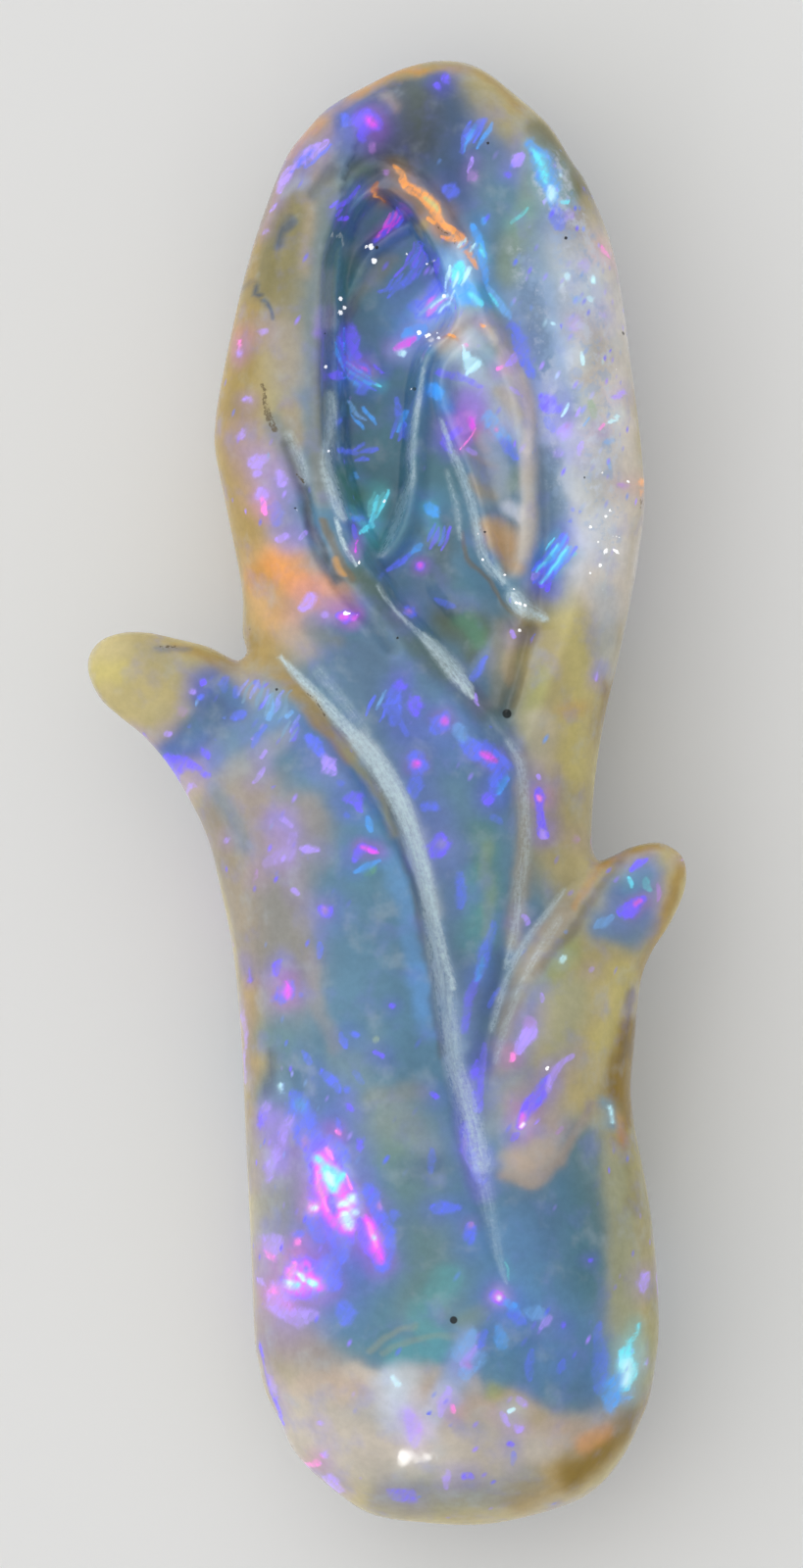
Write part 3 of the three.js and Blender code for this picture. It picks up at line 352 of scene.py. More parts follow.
    ("fern", 0.7, 0.3, [(0, -9.6), (0.3, -11), (0.6, -12.2)]),
    ("aqua", 0.35, 0.5, [(1.5, -12.2), (0.9, -13.3), (1.3, -14.2), (0.3, -14.2)]),
    ("sea", 0.8, 1, [(2.6, -10.8), (3.8, -11), (4.4, -12), (4.4, -13.2), (4.6, -14.4)]),
    ("slate", 0.7, 0.7, [(3.5, -10.5), (3.6, -11.4)]),
    ("slate", 0.6, 0.6, [(3.8, -13.4), (4.5, -14.2), (5, -15)]),
    ("sky", 0.9, 0.4, [(3, -11.4), (3.4, -12.8), (4.4, -14)]),
    ("pit", 0.4, 0.6, [(5, -8.8), (5.1, -10), (5.1, -11.2), (5.1, -12.4)]),
    ("sage", 0.25, 0.6, [(2, -13.4), (2.4, -13.2)]),
    ("pistachio", 0.35, 0.9, [(5.9, -9.6), (6, -11.2), (6, -12.6), (6, -13.8), (6, -15.6)]),
    ("pistachio", 0.09, 0.32, [(-0.5, -14.1), (0.1, -13.65), (0.75, -13.5)]),
    ("pistachio", 0.08, 0.28, [(-0.1, -14.1), (0.8, -13.85), (1.7, -13.8)]),
    # Right leaf
    ("khaki", 0.9, 1, [(5.4, -3.8), (5, -4.8), (4.6, -5.8), (4.4, -7)]),
    ("cream", 0.6, 1, [(6, -4.8), (5.6, -5.8), (5.4, -6.8), (5, -7.6)]),
    ("blush", 0.6, 0.8, [(3.4, -7.9), (4, -8.4), (3.5, -9.2)]),
    ("rose", 0.13, 0.8, [(5.1, -7.9), (4.8, -8.7), (4.3, -9.4), (3.6, -9.85), (2.9, -9.7)]),
    ("lime", 0.3, 0.5, [(4.6, -3.9), (4.2, -5), (3.9, -6)]),
    ("pearl", 0.4, 0.35, [(4.45, -5.1), (4.35, -5.9)]), ("mist", 0.3, 0.5, [(2.6, -7.6), (2.65, -8.4)]),
    ("drab", 0.22, 0.5, [(6.25, -9.2), (6.35, -10.6)]),
    ("blush", 0.35, 0.6, [(3.1, -9.3), (3.5, -9.4), (4, -9.1)]),
    ("pistachio", 0.4, 0.7, [(4.7, -5), (4.6, -5.8), (4.4, -6.6)]),
    ("pearl", 0.3, 0.6, [(4.3, -3.1), (3.9, -3.7), (3.5, -4.4)]),
    ("tan", 0.33, 0.7, [(4.6, -2.8), (4.15, -3.35), (3.7, -4.2), (3.3, -5), (3, -5.8), (2.8, -7)]),
    ("slate", 0.3, 0.8, [(2.7, -4.2), (2.4, -5.6), (2.3, -6.8)]),
    ("periwinkle", 0.3, 0.85, [(2, -7.4), (2, -8.4), (2.2, -9), (2.35, -10)]),
    # Gold round the tip: the stone's own tone and a painted glow through the thin edge
    ("gold", 0.2, 1, [(5.5, -1.8), (6.2, -1.5), (7, -1.4), (7.5, -1.9), (7.4, -2.7), (7, -3.6),
        (6.6, -4.4)]), ("amber", 0.1, 0.4, [(5.6, -1.75), (5.2, -2.2), (4.7, -2.9)]),
    ("bark", 0.12, 0.5, [(5.9, -1.9), (5.2, -2.7), (4.6, -3.5), (3.8, -4.5)]),
    ("steel", 0.45, 1, [(6, -2.6), (6.5, -2.3)]),
    ("steel", 0.4, 0.9, [(5.5, -3.3), (6.2, -3.5), (6.5, -3.3)]),
    ("straw", 0.35, 0.8, [(6, -4.7), (5.8, -5.6), (5.5, -6.4)]),
    ("honey", 0.32, 1, [(6.15, -6), (5.95, -7), (5.9, -7.8), (6.15, -8.8)]),
    ("bark", 0.1, 0.6, [(6.25, -5), (6.1, -6), (6, -6.8)]), ("amber", 0.15, 0.7, [(5.8, -8.3), (6, -8.9)]),
    ("steel", 0.13, 0.8, [(5.55, -7.9), (5.65, -8.5)]),
    ("olive", 0.22, 1, [(6.3, -8.6), (6.55, -10.2), (6.75, -11.8), (6.8, -13.6), (6.6, -15.2),
        (6.2, -16.3)]),
    # Foot
    ("rose", 0.6, 0.9, [(-2.8, -13.9), (-2, -14.2), (-1.5, -14.7)]),
    ("blush", 0.5, 1, [(-2, -15.2), (-0.8, -15.1), (0.6, -15.2), (2, -15.4), (3.2, -15.9), (4.4, -16.4)]),
    ("pearl", 1.0, 1, [(-2, -16.2), (-0.4, -16.5), (1, -16.4), (2.4, -16.8), (3.8, -17.2)]),
    ("pearl", 0.2, 0.6, [(-1, -14.7), (0, -14.85), (1, -14.75), (2.2, -14.9)]),
    ("blush", 0.4, 0.8, [(4.6, -16.2), (5.6, -16.1)]), ("snow", 0.4, 0.7, [(-0.1, -15.1), (0.2, -15.8)]),
    # Gold at the foot's right edge: the stone's own tone and a painted glow through the thin edge
    ("gold", 0.45, 0.9, [(6.3, -15.3), (6, -16.2), (5.3, -16.9), (4.4, -17.4), (3.4, -17.9)]),
    ("snow", 0.28, 0.45, [(0.5, -14.8), (0.7, -15.4), (0.95, -16.2)]),
    ("honey", 0.35, 1, [(6.2, -15.9), (5.5, -16.7), (4.7, -17.3)]),
    ("orange", 0.2, 0.4, [(4.9, -16.5), (5.5, -16.2)]), ("lime", 0.22, 0.6, [(2.7, -15.1), (3, -15.3)]),
    ("cream", 0.3, 0.8, [(3.1, -15.4), (3.6, -15.7)]),
    # Painted shade: the ash band along the foot's lower edge
    ("ash", 0.4, 0.5, [(0, -18), (1.2, -18), (2.4, -17.8), (3.6, -17.5)]),
    ("snow", 0.25, 0.7, [(0.1, -14.7), (0.3, -15.3), (0.5, -16)]),
    ("powder", 0.3, 0.8, [(2, -13.8), (1.85, -14.5), (1.5, -15.2)]),
    ("snow", 0.25, 0.6, [(1.5, -15.2), (1.1, -15.8), (0.7, -16.2)]),
    ("lilac", 0.2, 0.3, [(0.55, -15.7), (0.65, -16.1)]),
]

# Play of colour, with ragged edges, and some painted highlights drawn the same way: colour, radius,
# strength, path
FLASHES = [
    # Hood top and left band
    ("violet", 0.36, 0.9, [(-0.75, 17.1), (-0.3, 17.05)]),
    ("violet", 0.2, 0.8, [(-0.6, 16.85), (-0.65, 16.65)]),
    ("magenta", 0.16, 1, [(-0.45, 17.1), (-0.32, 17)]),
    ("indigo", 0.17, 0.8, [(-1.05, 17.25), (-1.07, 17.05)]), ("mauve", 0.11, 0.6, [(-0.37, 16.45)]),
    ("violet", 0.14, 0.9, [(1.45, 18.25)]), ("violet", 0.11, 0.9, [(1.2, 18)]),
    ("indigo", 0.17, 0.9, [(-2.35, 16), (-1.95, 16.3), (-1.85, 16.4)]),
    ("lilac", 0.15, 0.9, [(-2.8, 15.45), (-2.6, 15.75), (-2.35, 16)]),
    ("lilac", 0.14, 0.7, [(-1.75, 16.5), (-1.6, 16.65)]),
    ("lilac", 0.1, 0.9, [(-3.05, 14.9), (-2.9, 15.05)]), ("lilac", 0.09, 0.7, [(-3.2, 14.4)]),
    ("indigo", 0.13, 0.7, [(2.5, 17.25), (2.2, 16.85), (1.9, 16.3)]),
    ("lilac", 0.06, 0.8, [(2.05, 15.8), (2.2, 16.1)]), ("mauve", 0.15, 0.5, [(2.2, 15.7)]),
    ("indigo", 0.2, 0.85, [(1.45, 15.35), (1.7, 15.3)]), ("azure", 0.08, 0.8, [(2.38, 14.57)]),
    ("lilac", 0.17, 0.9, [(3.2, 16), (3.4, 16.2)]), ("violet", 0.09, 0.8, [(3.05, 15.7)]),
    ("azure", 0.24, 0.7, [(3.65, 16.5), (3.95, 16), (4.2, 15.4), (4.25, 15)]),
    ("cyan", 0.11, 1, [(3.68, 16.35), (3.95, 16), (4.1, 15.65)]),
    ("ice", 0.16, 1, [(4.2, 15.45), (4.22, 15.2)]), ("cyan", 0.08, 1, [(4.5, 15.12), (4.6, 15.15)]),
    ("indigo", 0.2, 0.6, [(4.3, 14.95), (4.28, 14.45)]), ("lilac", 0.14, 0.5, [(4.6, 14.8)]),
    ("aqua", 0.055, 1, [(3.22, 14.5), (3.52, 14.87)]), ("pink", 0.1, 0.8, [(5.43, 13.9), (5.5, 13.72)]),
    ("ice", 0.09, 0.9, [(5.25, 13.1)]), ("ice", 0.1, 0.5, [(4.55, 13.2)]),
    ("lilac", 0.15, 0.4, [(5, 13.4)]), ("sky", 0.12, 0.6, [(4.82, 12.55)]),
    ("ice", 0.09, 0.5, [(5.15, 12.6)]), ("ice", 0.06, 0.8, [(4.2, 11.95)]),
    ("lilac", 0.1, 0.4, [(5.5, 12.2)]), ("ice", 0.07, 0.7, [(5.03, 11.25), (5.05, 10.95)]),
    ("lilac", 0.2, 0.35, [(4.7, 12)]), ("lilac", 0.1, 0.8, [(5.75, 10.05), (6.1, 10.22)]),
    ("sage", 0.1, 0.8, [(5.2, 9.95), (5.25, 9.5)]), ("ice", 0.06, 0.9, [(5.6, 9.4), (5.85, 9.65)]),
    ("pink", 0.05, 0.7, [(5.38, 9.2), (5.5, 9.35)]), ("lilac", 0.1, 0.7, [(5, 8.85), (4.9, 8.6)]),
    ("sky", 0.1, 0.7, [(5.6, 8.92)]), ("sky", 0.07, 0.7, [(5.6, 8.45), (5.7, 8.3)]),
    ("mauve", 0.12, 0.8, [(6, 7.85)]), ("orange", 0.1, 0.7, [(6.4, 7.95)]),
    ("orange", 0.06, 0.6, [(6.4, 7.7)]), ("violet", 0.22, 0.85, [(4, 10.1), (4.15, 9.85)]),
    ("violet", 0.1, 0.8, [(4.3, 9.8)]), ("indigo", 0.12, 0.6, [(4.1, 9.6), (4.25, 9.25)]),
    ("lilac", 0.2, 0.7, [(4.5, 9.2)]), ("mauve", 0.08, 0.8, [(4.55, 9.3)]),
    ("lilac", 0.15, 0.4, [(4.4, 8.65)]), ("indigo", 0.07, 0.6, [(4.65, 7.15)]),
    ("pink", 0.13, 1, [(-3.78, 11.5), (-3.8, 11.35)]), ("lilac", 0.1, 0.8, [(-3.82, 11.2)]),
    ("lilac", 0.12, 0.6, [(-3.25, 11.7), (-3.1, 11.72)]), ("lilac", 0.09, 0.9, [(-3.62, 9.98)]),
    ("lilac", 0.16, 0.9, [(-3.68, 9.25), (-3.75, 9.05)]),
    ("lilac", 0.2, 0.85, [(-3.45, 8.45), (-3.15, 8.5)]), ("lilac", 0.11, 0.9, [(-3.35, 8.15)]),
    ("lilac", 0.17, 0.85, [(-2.75, 8.1), (-2.7, 7.85)]), ("lilac", 0.17, 0.9, [(-3.2, 7.6)]),
    ("pink", 0.1, 1, [(-3.22, 7.45), (-3.12, 7.2)]), ("indigo", 0.2, 0.45, [(-2.85, 7.3), (-2.8, 7)]),
    ("lilac", 0.12, 0.8, [(-2.75, 6.45), (-2.6, 6.6)]), ("lilac", 0.12, 0.6, [(-2.3, 6.5), (-2.1, 6.6)]),
    ("lilac", 0.24, 0.95, [(-1.97, 4.95), (-2.1, 4.78)]),
    ("violet", 0.15, 0.9, [(-1.25, 4.58), (-0.8, 4.55)]),
    ("magenta", 0.12, 1, [(-1.18, 4.55), (-0.98, 4.57)]), ("magenta", 0.06, 1, [(-0.78, 4.52)]),
    ("lilac", 0.09, 0.8, [(-1.6, 4.6)]),
    # Bud
    # Painted highlight: the orange and straw strokes along the bud's upper right rim are light caught by
    # its thin ridge
    ("orange", 0.09, 0.7, [(0.15, 15.95), (0.5, 15.65)]),
    ("orange", 0.15, 0.9, [(0.4, 15.6), (1, 15.1), (1.45, 14.65)]),
    ("orange", 0.1, 0.9, [(1.45, 14.65), (1.8, 14.15), (2, 13.75), (2.25, 13.4)]),
    ("straw", 0.06, 1, [(0.95, 15.15), (1.3, 14.85)]), ("orange", 0.1, 0.8, [(1.1, 14.65), (1.25, 14.6)]),
    ("orange", 0.09, 0.8, [(1.45, 14.2), (1.7, 14.05)]), ("rust", 0.07, 1, [(-0.22, 15.5), (-0.25, 15.15)]),
    ("orange", 0.04, 1, [(-0.25, 15.25)]),
    ("violet", 0.07, 0.9, [(-1.25, 14.9), (-0.95, 15.05), (-0.65, 15.4)]),
    ("violet", 0.07, 1, [(-1.22, 14.58), (-1.02, 14.63)]), ("mauve", 0.08, 0.6, [(-0.08, 15.8)]),
    ("violet", 0.19, 1, [(0.1, 14.75), (0, 14.5), (-0.25, 14.3), (-0.45, 14.1)]),
    ("indigo", 0.12, 0.9, [(0.15, 14.5), (0.15, 14.3)]),
    ("magenta", 0.08, 1, [(-0.3, 14.38), (-0.05, 14.38)]), ("pink", 0.05, 1, [(-0.42, 14.18)]),
    ("azure", 0.13, 0.9, [(2.1, 14.45), (2.3, 14), (2.45, 13.6), (2.55, 13.1)]),
    ("cyan", 0.06, 0.8, [(2.32, 13.95), (2.45, 13.7)]),
    ("sky", 0.13, 0.9, [(2.6, 12.9), (2.85, 12.45), (3.1, 12.1)]),
    ("cyan", 0.05, 0.8, [(2.6, 12.75), (2.8, 12.4)]),
    ("indigo", 0.13, 0.7, [(3.2, 11.9), (3.45, 11.5), (3.55, 11), (3.65, 10.7)]),
    ("cyan", 0.24, 0.95, [(1.85, 13.3), (1.75, 13)]), ("azure", 0.3, 0.8, [(1.7, 12.8), (2.2, 12.6)]),
    ("cyan", 0.12, 0.9, [(2.15, 12.6), (2.35, 12.5)]),
    ("indigo", 0.3, 0.8, [(1, 12.9), (1.2, 12.4), (0.7, 12.5)]),
    ("azure", 0.22, 0.8, [(0.6, 11.9), (1, 11.9)]),
    ("indigo", 0.1, 0.8, [(0.5, 13.7), (0.35, 13.2), (0.05, 12.9)]),
    ("violet", 0.08, 0.8, [(1.05, 13.6), (0.95, 13.2)]), ("violet", 0.07, 0.7, [(1.3, 13.6), (1.05, 13.2)]),
    ("magenta", 0.12, 1, [(0.4, 11.55), (0.75, 11.75)]), ("ice", 0.1, 1, [(0.5, 11.4)]),
    ("magenta", 0.07, 0.9, [(1, 12.6), (1.1, 12.3)]), ("ice", 0.06, 1, [(1.1, 12.45), (1.45, 12.7)]),
    ("violet", 0.25, 0.95, [(-1.1, 11.5), (-0.85, 11.8), (-0.7, 11.4)]),
    ("indigo", 0.33, 0.95, [(-0.95, 11), (-0.6, 11)]), ("azure", 0.22, 0.9, [(-0.8, 10.65), (-0.5, 10.6)]),
    ("violet", 0.13, 0.9, [(-1.35, 10.6), (-1.1, 10.65)]),
    ("indigo", 0.15, 0.7, [(-0.55, 10.4), (-0.6, 10.2)]), ("magenta", 0.11, 1, [(-0.75, 11), (-0.55, 11)]),
    ("pink", 0.05, 1, [(-0.75, 11.02), (-0.6, 10.98)]),
    ("cyan", 0.05, 0.9, [(-0.4, 10.62), (-0.12, 10.45)]), ("violet", 0.05, 0.8, [(-0.3, 11.2), (0, 10.85)]),
    ("indigo", 0.09, 0.7, [(0.3, 10), (0.33, 9.6), (0.4, 9.3)]), ("indigo", 0.08, 0.6, [(-1.2, 9.45)]),
    ("indigo", 0.07, 0.8, [(-1.25, 8.72), (-0.95, 8.65), (-0.7, 8.55)]),
    ("azure", 0.07, 0.8, [(-0.7, 8.03)]),
    ("cyan", 0.07, 0.9, [(-0.25, 7.6), (-0.35, 7.2), (-0.45, 6.9), (-0.6, 6.6)]),
    ("cyan", 0.12, 1, [(-0.38, 7), (-0.35, 6.95)]), ("indigo", 0.12, 0.8, [(-0.9, 7), (-0.7, 7.02)]),
    ("violet", 0.1, 0.9, [(-0.9, 6.8), (-0.78, 6.5)]), ("magenta", 0.04, 1, [(-0.87, 6.2), (-0.7, 6.4)]),
    # Valley, throat and petal
    ("azure", 0.18, 0.9, [(1.1, 7.3), (1.25, 7.1)]),
    ("indigo", 0.08, 0.8, [(0.02, 5.62), (0.35, 5.9), (0.6, 6.15)]),
    ("azure", 0.09, 0.6, [(0.55, 6.1), (0.75, 6.3)]), ("violet", 0.11, 0.8, [(0.8, 5.7)]),
    ("magenta", 0.06, 1, [(0.8, 5.72)]), ("indigo", 0.18, 0.9, [(0.45, 4.7), (0.6, 4.5)]),
    ("mauve", 0.09, 1, [(0.5, 4.6)]), ("indigo", 0.09, 0.7, [(2.1, 2.85), (2.35, 3.1), (2.6, 3.5)]),
    ("lilac", 0.05, 0.8, [(2.2, 2.45), (2.4, 2.15)]), ("indigo", 0.1, 0.5, [(1.3, 4.95), (1.7, 4.85)]),
    ("ice", 0.17, 1, [(2, 11.1), (2.1, 10.9), (2.3, 11)]), ("ice", 0.06, 0.9, [(1.87, 11.4), (1.9, 11.2)]),
    ("ice", 0.05, 0.9, [(2, 10.75), (1.9, 10.5)]), ("pink", 0.08, 0.9, [(2.8, 10.85), (2.92, 10.9)]),
    ("lilac", 0.07, 0.8, [(3, 10.93), (3.2, 11.05), (3.4, 11.25)]), ("pink", 0.06, 0.5, [(1.95, 11.4)]),
    ("azure", 0.2, 0.7, [(1.2, 10.4), (1.25, 10.1)]), ("violet", 0.1, 0.5, [(1.3, 10.8), (2.35, 10.35)]),
    ("mauve", 0.33, 0.9, [(2.05, 9.6), (1.85, 9.3)]), ("violet", 0.2, 0.8, [(1.7, 9.2), (1.5, 9.1)]),
    ("magenta", 0.13, 0.9, [(2.1, 9.55), (2.2, 9.35)]), ("pink", 0.03, 1, [(1.88, 8.72), (2.3, 9.3)]),
    ("sky", 0.18, 0.8, [(2.5, 9.65), (2.75, 9.3), (3.1, 9)]),
    ("indigo", 0.17, 0.6, [(3, 8.95), (3.3, 8.65)]), ("pink", 0.05, 0.9, [(2.77, 9.25)]),
    ("violet", 0.1, 0.7, [(1.4, 9), (1.6, 8.7)]), ("orange", 0.07, 0.8, [(1.5, 11.68), (1.7, 11.6)]),
    ("orange", 0.06, 0.9, [(2.45, 11.95)]), ("lilac", 0.13, 0.5, [(2.1, 8.7), (2.3, 8.6)]),
    ("lilac", 0.07, 0.6, [(3.15, 10.3), (3.3, 10.1)]),
    ("violet", 0.2, 0.95, [(3.95, 5.35), (4.2, 5.95), (4.5, 6.4)]),
    ("violet", 0.12, 0.8, [(4.1, 5.2), (4.1, 5.4)]), ("indigo", 0.12, 0.9, [(4.05, 6), (4.4, 6.45)]),
    ("cyan", 0.03, 1, [(4.02, 6.22), (4.2, 6.48)]), ("cyan", 0.03, 0.9, [(4.15, 5.85), (4.35, 6.15)]),
    ("cyan", 0.03, 0.8, [(4.28, 5.6), (4.45, 5.85)]), ("aqua", 0.07, 0.8, [(4.6, 6), (4.78, 6.12)]),
    ("lilac", 0.1, 0.6, [(3.7, 5.4), (3.85, 5.6)]), ("lilac", 0.1, 0.9, [(3.15, 4.15), (3.2, 4)]),
    ("indigo", 0.05, 0.8, [(3.68, 3.9), (3.78, 4.05)]), ("lilac", 0.055, 1, [(5.35, 3.2), (5.25, 2.8)]),
    ("lilac", 0.09, 0.9, [(3.8, 0.5), (3.85, 0.4)]),
    ("violet", 0.13, 1, [(3.9, 0.1), (3.93, -0.4), (4.05, -1)]),
    ("pink", 0.08, 1, [(3.9, -0.08), (3.92, -0.18)]), ("lilac", 0.08, 0.9, [(4.05, -0.9), (4.03, -1.05)]),
    ("mauve", 0.1, 0.4, [(4.7, -1.1), (4.85, -1.3)]),
    # Middle petal
    ("indigo", 0.2, 0.75, [(0.25, 2.8), (0.15, 2.2), (0.15, 1.8)]), ("violet", 0.12, 0.8, [(0.3, 2.8)]),
    ("violet", 0.26, 0.85, [(0.75, 2.35), (0.75, 2.1)]),
    ("indigo", 0.26, 0.8, [(1.45, 1.95), (1.25, 1.65)]), ("magenta", 0.09, 0.8, [(1.45, 1.88)]),
    ("indigo", 0.1, 0.5, [(0.55, 1.5), (-0.1, 2.2)]), ("indigo", 0.36, 0.9, [(0.75, 0.9), (0.8, 0.7)]),
    ("magenta", 0.09, 0.8, [(0.75, 0.75)]), ("indigo", 0.18, 0.7, [(0.75, 0.35), (0.7, -0.05)]),
    ("indigo", 0.18, 0.75, [(0.95, -0.4), (1.15, -0.35)]),
    ("violet", 0.34, 0.9, [(1.25, -1.15), (1.25, -1.45)]), ("lilac", 0.12, 0.6, [(1.28, -1.25)]),
    ("indigo", 0.14, 0.6, [(1.9, -2.1), (1.85, -2.5), (1.75, -2.8)]),
    ("indigo", 0.3, 0.95, [(2, 1.3), (2.5, 1), (2.9, 0.75)]),
    ("magenta", 0.09, 0.7, [(2.45, 0.95), (2.7, 0.85)]), ("indigo", 0.26, 0.8, [(2.85, 0.6), (2.7, 0.15)]),
    ("azure", 0.12, 0.7, [(3, 0.4), (2.85, 0.1)]), ("violet", 0.17, 0.9, [(2.55, -0.1)]),
    ("sky", 0.2, 0.5, [(1.75, 1.7), (1.95, 1.4)]), ("indigo", 0.15, 0.35, [(2.7, -0.6), (2.9, -0.7)]),
    ("indigo", 0.15, 0.55, [(2.72, -3.3), (2.5, -3.9), (2.28, -4.6)]),
    ("violet", 0.13, 0.45, [(2.28, -4.6), (2.05, -5.5), (1.95, -6)]),
    ("azure", 0.08, 0.6, [(2.4, -4.2), (2.25, -4.7)]), ("indigo", 0.07, 0.6, [(2.8, -5), (2.6, -5.4)]),
    ("lilac", 0.1, 0.6, [(3.4, -3.15), (3.5, -3.35)]), ("violet", 0.18, 0.8, [(2.3, -6.9), (2.2, -7.2)]),
    ("violet", 0.1, 0.5, [(2.5, -6.4), (2.3, -8), (2.2, -7.6)]),
    # Left leaf
    ("violet", 0.12, 0.95, [(-4.75, 2.9), (-4.65, 2.95)]), ("lilac", 0.09, 0.9, [(-5, 2.65)]),
    ("indigo", 0.09, 0.9, [(-4.75, 2.5)]), ("indigo", 0.14, 0.55, [(-4.15, 2.95), (-4.15, 2.65)]),
    ("indigo", 0.12, 0.55, [(-3.8, 2.7), (-3.85, 2.5)]),
    ("indigo", 0.14, 0.8, [(-3.95, 1.9), (-3.7, 2.05)]), ("lilac", 0.09, 0.8, [(-5.55, 1.6), (-5.45, 1.6)]),
    ("mauve", 0.13, 0.35, [(-5.25, 2.1)]), ("violet", 0.1, 1, [(-6.45, 1.55), (-6.1, 1.35), (-5.9, 1.15)]),
    ("violet", 0.16, 0.9, [(-4.7, 1.08), (-4.6, 1)]),
    ("violet", 0.12, 0.85, [(-5.4, 1), (-5.15, 0.75), (-4.85, 0.6)]),
    ("violet", 0.15, 0.7, [(-4.75, 0.5), (-4.55, 0.45)]), ("lilac", 0.08, 0.9, [(-5, 0.15)]),
    ("sky", 0.11, 0.9, [(-2.88, 2.5), (-2.95, 2.15), (-3, 1.95)]),
    ("indigo", 0.1, 0.8, [(-3.35, 2.8), (-3.2, 2.7)]),
    ("indigo", 0.08, 0.6, [(-3.1, 1.75), (-3.3, 1.45), (-3.45, 1.2)]),
    ("sky", 0.1, 0.8, [(-2.6, 2), (-2.45, 2.1)]), ("violet", 0.12, 0.6, [(-2.3, 1.8), (-2.35, 1.35)]),
    ("lilac", 0.11, 0.8, [(-3.25, 0.9), (-3.1, 1.05)]), ("lilac", 0.09, 0.6, [(-3.4, 0.35), (-3.2, 0.6)]),
    ("lilac", 0.12, 0.5, [(-2.65, -0.7), (-2.5, -0.8)]),
    ("lilac", 0.2, 0.3, [(-2.4, -1.1), (-2.45, -1.5), (-2.8, -1.7), (-3.1, -1.8)]),
    ("lilac", 0.1, 0.7, [(-2.1, -1.4), (-1.8, -1.45)]), ("lilac", 0.08, 0.8, [(-4.1, -1.2)]),
    ("mauve", 0.1, 0.6, [(-3.35, -1.95), (-3.35, -2.15)]),
    ("lilac", 0.1, 0.6, [(-2.35, -2.4), (-2.25, -2.5)]),
    ("indigo", 0.18, 0.9, [(-1.95, 1.4), (-1.75, 1.05)]), ("lilac", 0.2, 0.85, [(-1.6, 0.85), (-1.4, 0.6)]),
    ("indigo", 0.1, 0.5, [(-1.2, 0.3)]),
    ("violet", 0.16, 0.85, [(-1, -0.15), (-0.75, -0.1), (-0.7, -0.35)]),
    ("indigo", 0.07, 0.7, [(-1.05, -0.55)]), ("azure", 0.11, 0.65, [(-0.5, -0.6), (-0.4, -0.9)]),
    ("violet", 0.12, 0.9, [(-0.85, -1.7), (-0.65, -1.5), (-0.3, -1.4)]),
    ("magenta", 0.08, 1, [(-0.6, -1.47), (-0.25, -1.47)]),
    ("fern", 0.22, 0.7, [(-0.55, -1.95), (-0.4, -1.95)]),
    ("azure", 0.07, 0.6, [(-0.2, -1.75), (-0.85, -2)]), ("violet", 0.2, 0.85, [(-1.7, -3), (-1.5, -3)]),
    ("mauve", 0.08, 0.9, [(-1.62, -2.98)]), ("indigo", 0.08, 0.55, [(-1.7, -3.75), (-1.7, -4.2)]),
    ("violet", 0.07, 0.9, [(-3.68, -4.25), (-3.5, -4.7)]),
    ("violet", 0.1, 0.8, [(-2.75, -4.3), (-2.88, -4.6)]),
    ("indigo", 0.24, 0.95, [(-2.5, -4.85), (-2.65, -5.2)]),
    ("magenta", 0.13, 1, [(-2.62, -4.82), (-2.52, -5.1)]), ("indigo", 0.06, 0.6, [(-2.15, -5.08)]),
    ("lilac", 0.07, 0.6, [(-3.75, -5.3), (-3.7, -6), (-3.7, -7.4)]), ("violet", 0.08, 0.8, [(0.05, -5.4)]),
    ("indigo", 0.1, 0.75, [(-1.15, -6.1), (-1.05, -6.4)]), ("indigo", 0.09, 0.7, [(-0.8, -6.1)]),
    ("violet", 0.11, 0.95, [(-0.3, -6.5), (-0.15, -6.58)]), ("sage", 0.09, 0.7, [(-0.3, -6.15)]),
    ("indigo", 0.15, 0.85, [(-1.65, -7.1), (-1.4, -7.25), (-1.3, -7.5)]),
    ("indigo", 0.1, 0.6, [(-1.05, -7.45)]), ("violet", 0.14, 0.9, [(-1, -7.9), (-0.9, -8)]),
    ("indigo", 0.12, 0.35, [(-0.8, -7), (-0.7, -7.2)]), ("indigo", 0.12, 0.5, [(-2.2, -6.5), (-2, -6.8)]),
    ("ice", 0.06, 0.6, [(-2.7, -7.4), (-2.75, -7.6)]),
    # Lower body
    ("indigo", 0.36, 0.75, [(-2.35, -7.7), (-2.15, -8.4), (-1.95, -8.95)]),
    ("azure", 0.15, 0.5, [(-2.25, -7.9)]),
    ("lilac", 0.14, 0.55, [(-2.5, -8.3), (-2.75, -8.95), (-2.95, -9.4), (-3.05, -9.8)]),
    ("violet", 0.1, 0.8, [(-3.1, -8.1), (-3.15, -8.6)]),
    ("lilac", 0.12, 0.6, [(-2.95, -7.85), (-3.05, -8.1)]),
    ("indigo", 0.13, 0.8, [(-1.3, -8.3), (-1.28, -8.5)]), ("pink", 0.09, 1, [(-1.31, -8.6)]),
    ("violet", 0.16, 0.6, [(-0.67, -8.8), (-0.65, -8.95)]), ("mauve", 0.13, 0.6, [(-2.1, -8.75), (-2, -9)]),
    ("indigo", 0.3, 0.6, [(-1.5, -8.9), (-1.1, -9.2)]),
    ("violet", 0.56, 0.9, [(-1.8, -9.15), (-1.45, -9.8), (-1.35, -10.6), (-1.2, -11.2)]),
    ("indigo", 0.22, 0.7, [(-1.3, -11.2), (-1.12, -11.8)]),
    ("indigo", 0.22, 0.7, [(-1.95, -10.7), (-1.65, -11.3)]),
    ("magenta", 0.33, 1, [(-1.7, -9.3), (-1.4, -9.85), (-1.2, -10.5), (-1.05, -11)]),
    ("magenta", 0.13, 1, [(-1.8, -9.5), (-1.65, -10.3), (-1.35, -10.95)]),
    ("violet", 0.14, 0.9, [(-1.45, -10.2), (-1.33, -10.65)]),
    ("pink", 0.05, 1, [(-1.82, -9.6), (-1.72, -10.1), (-1.5, -10.6)]),
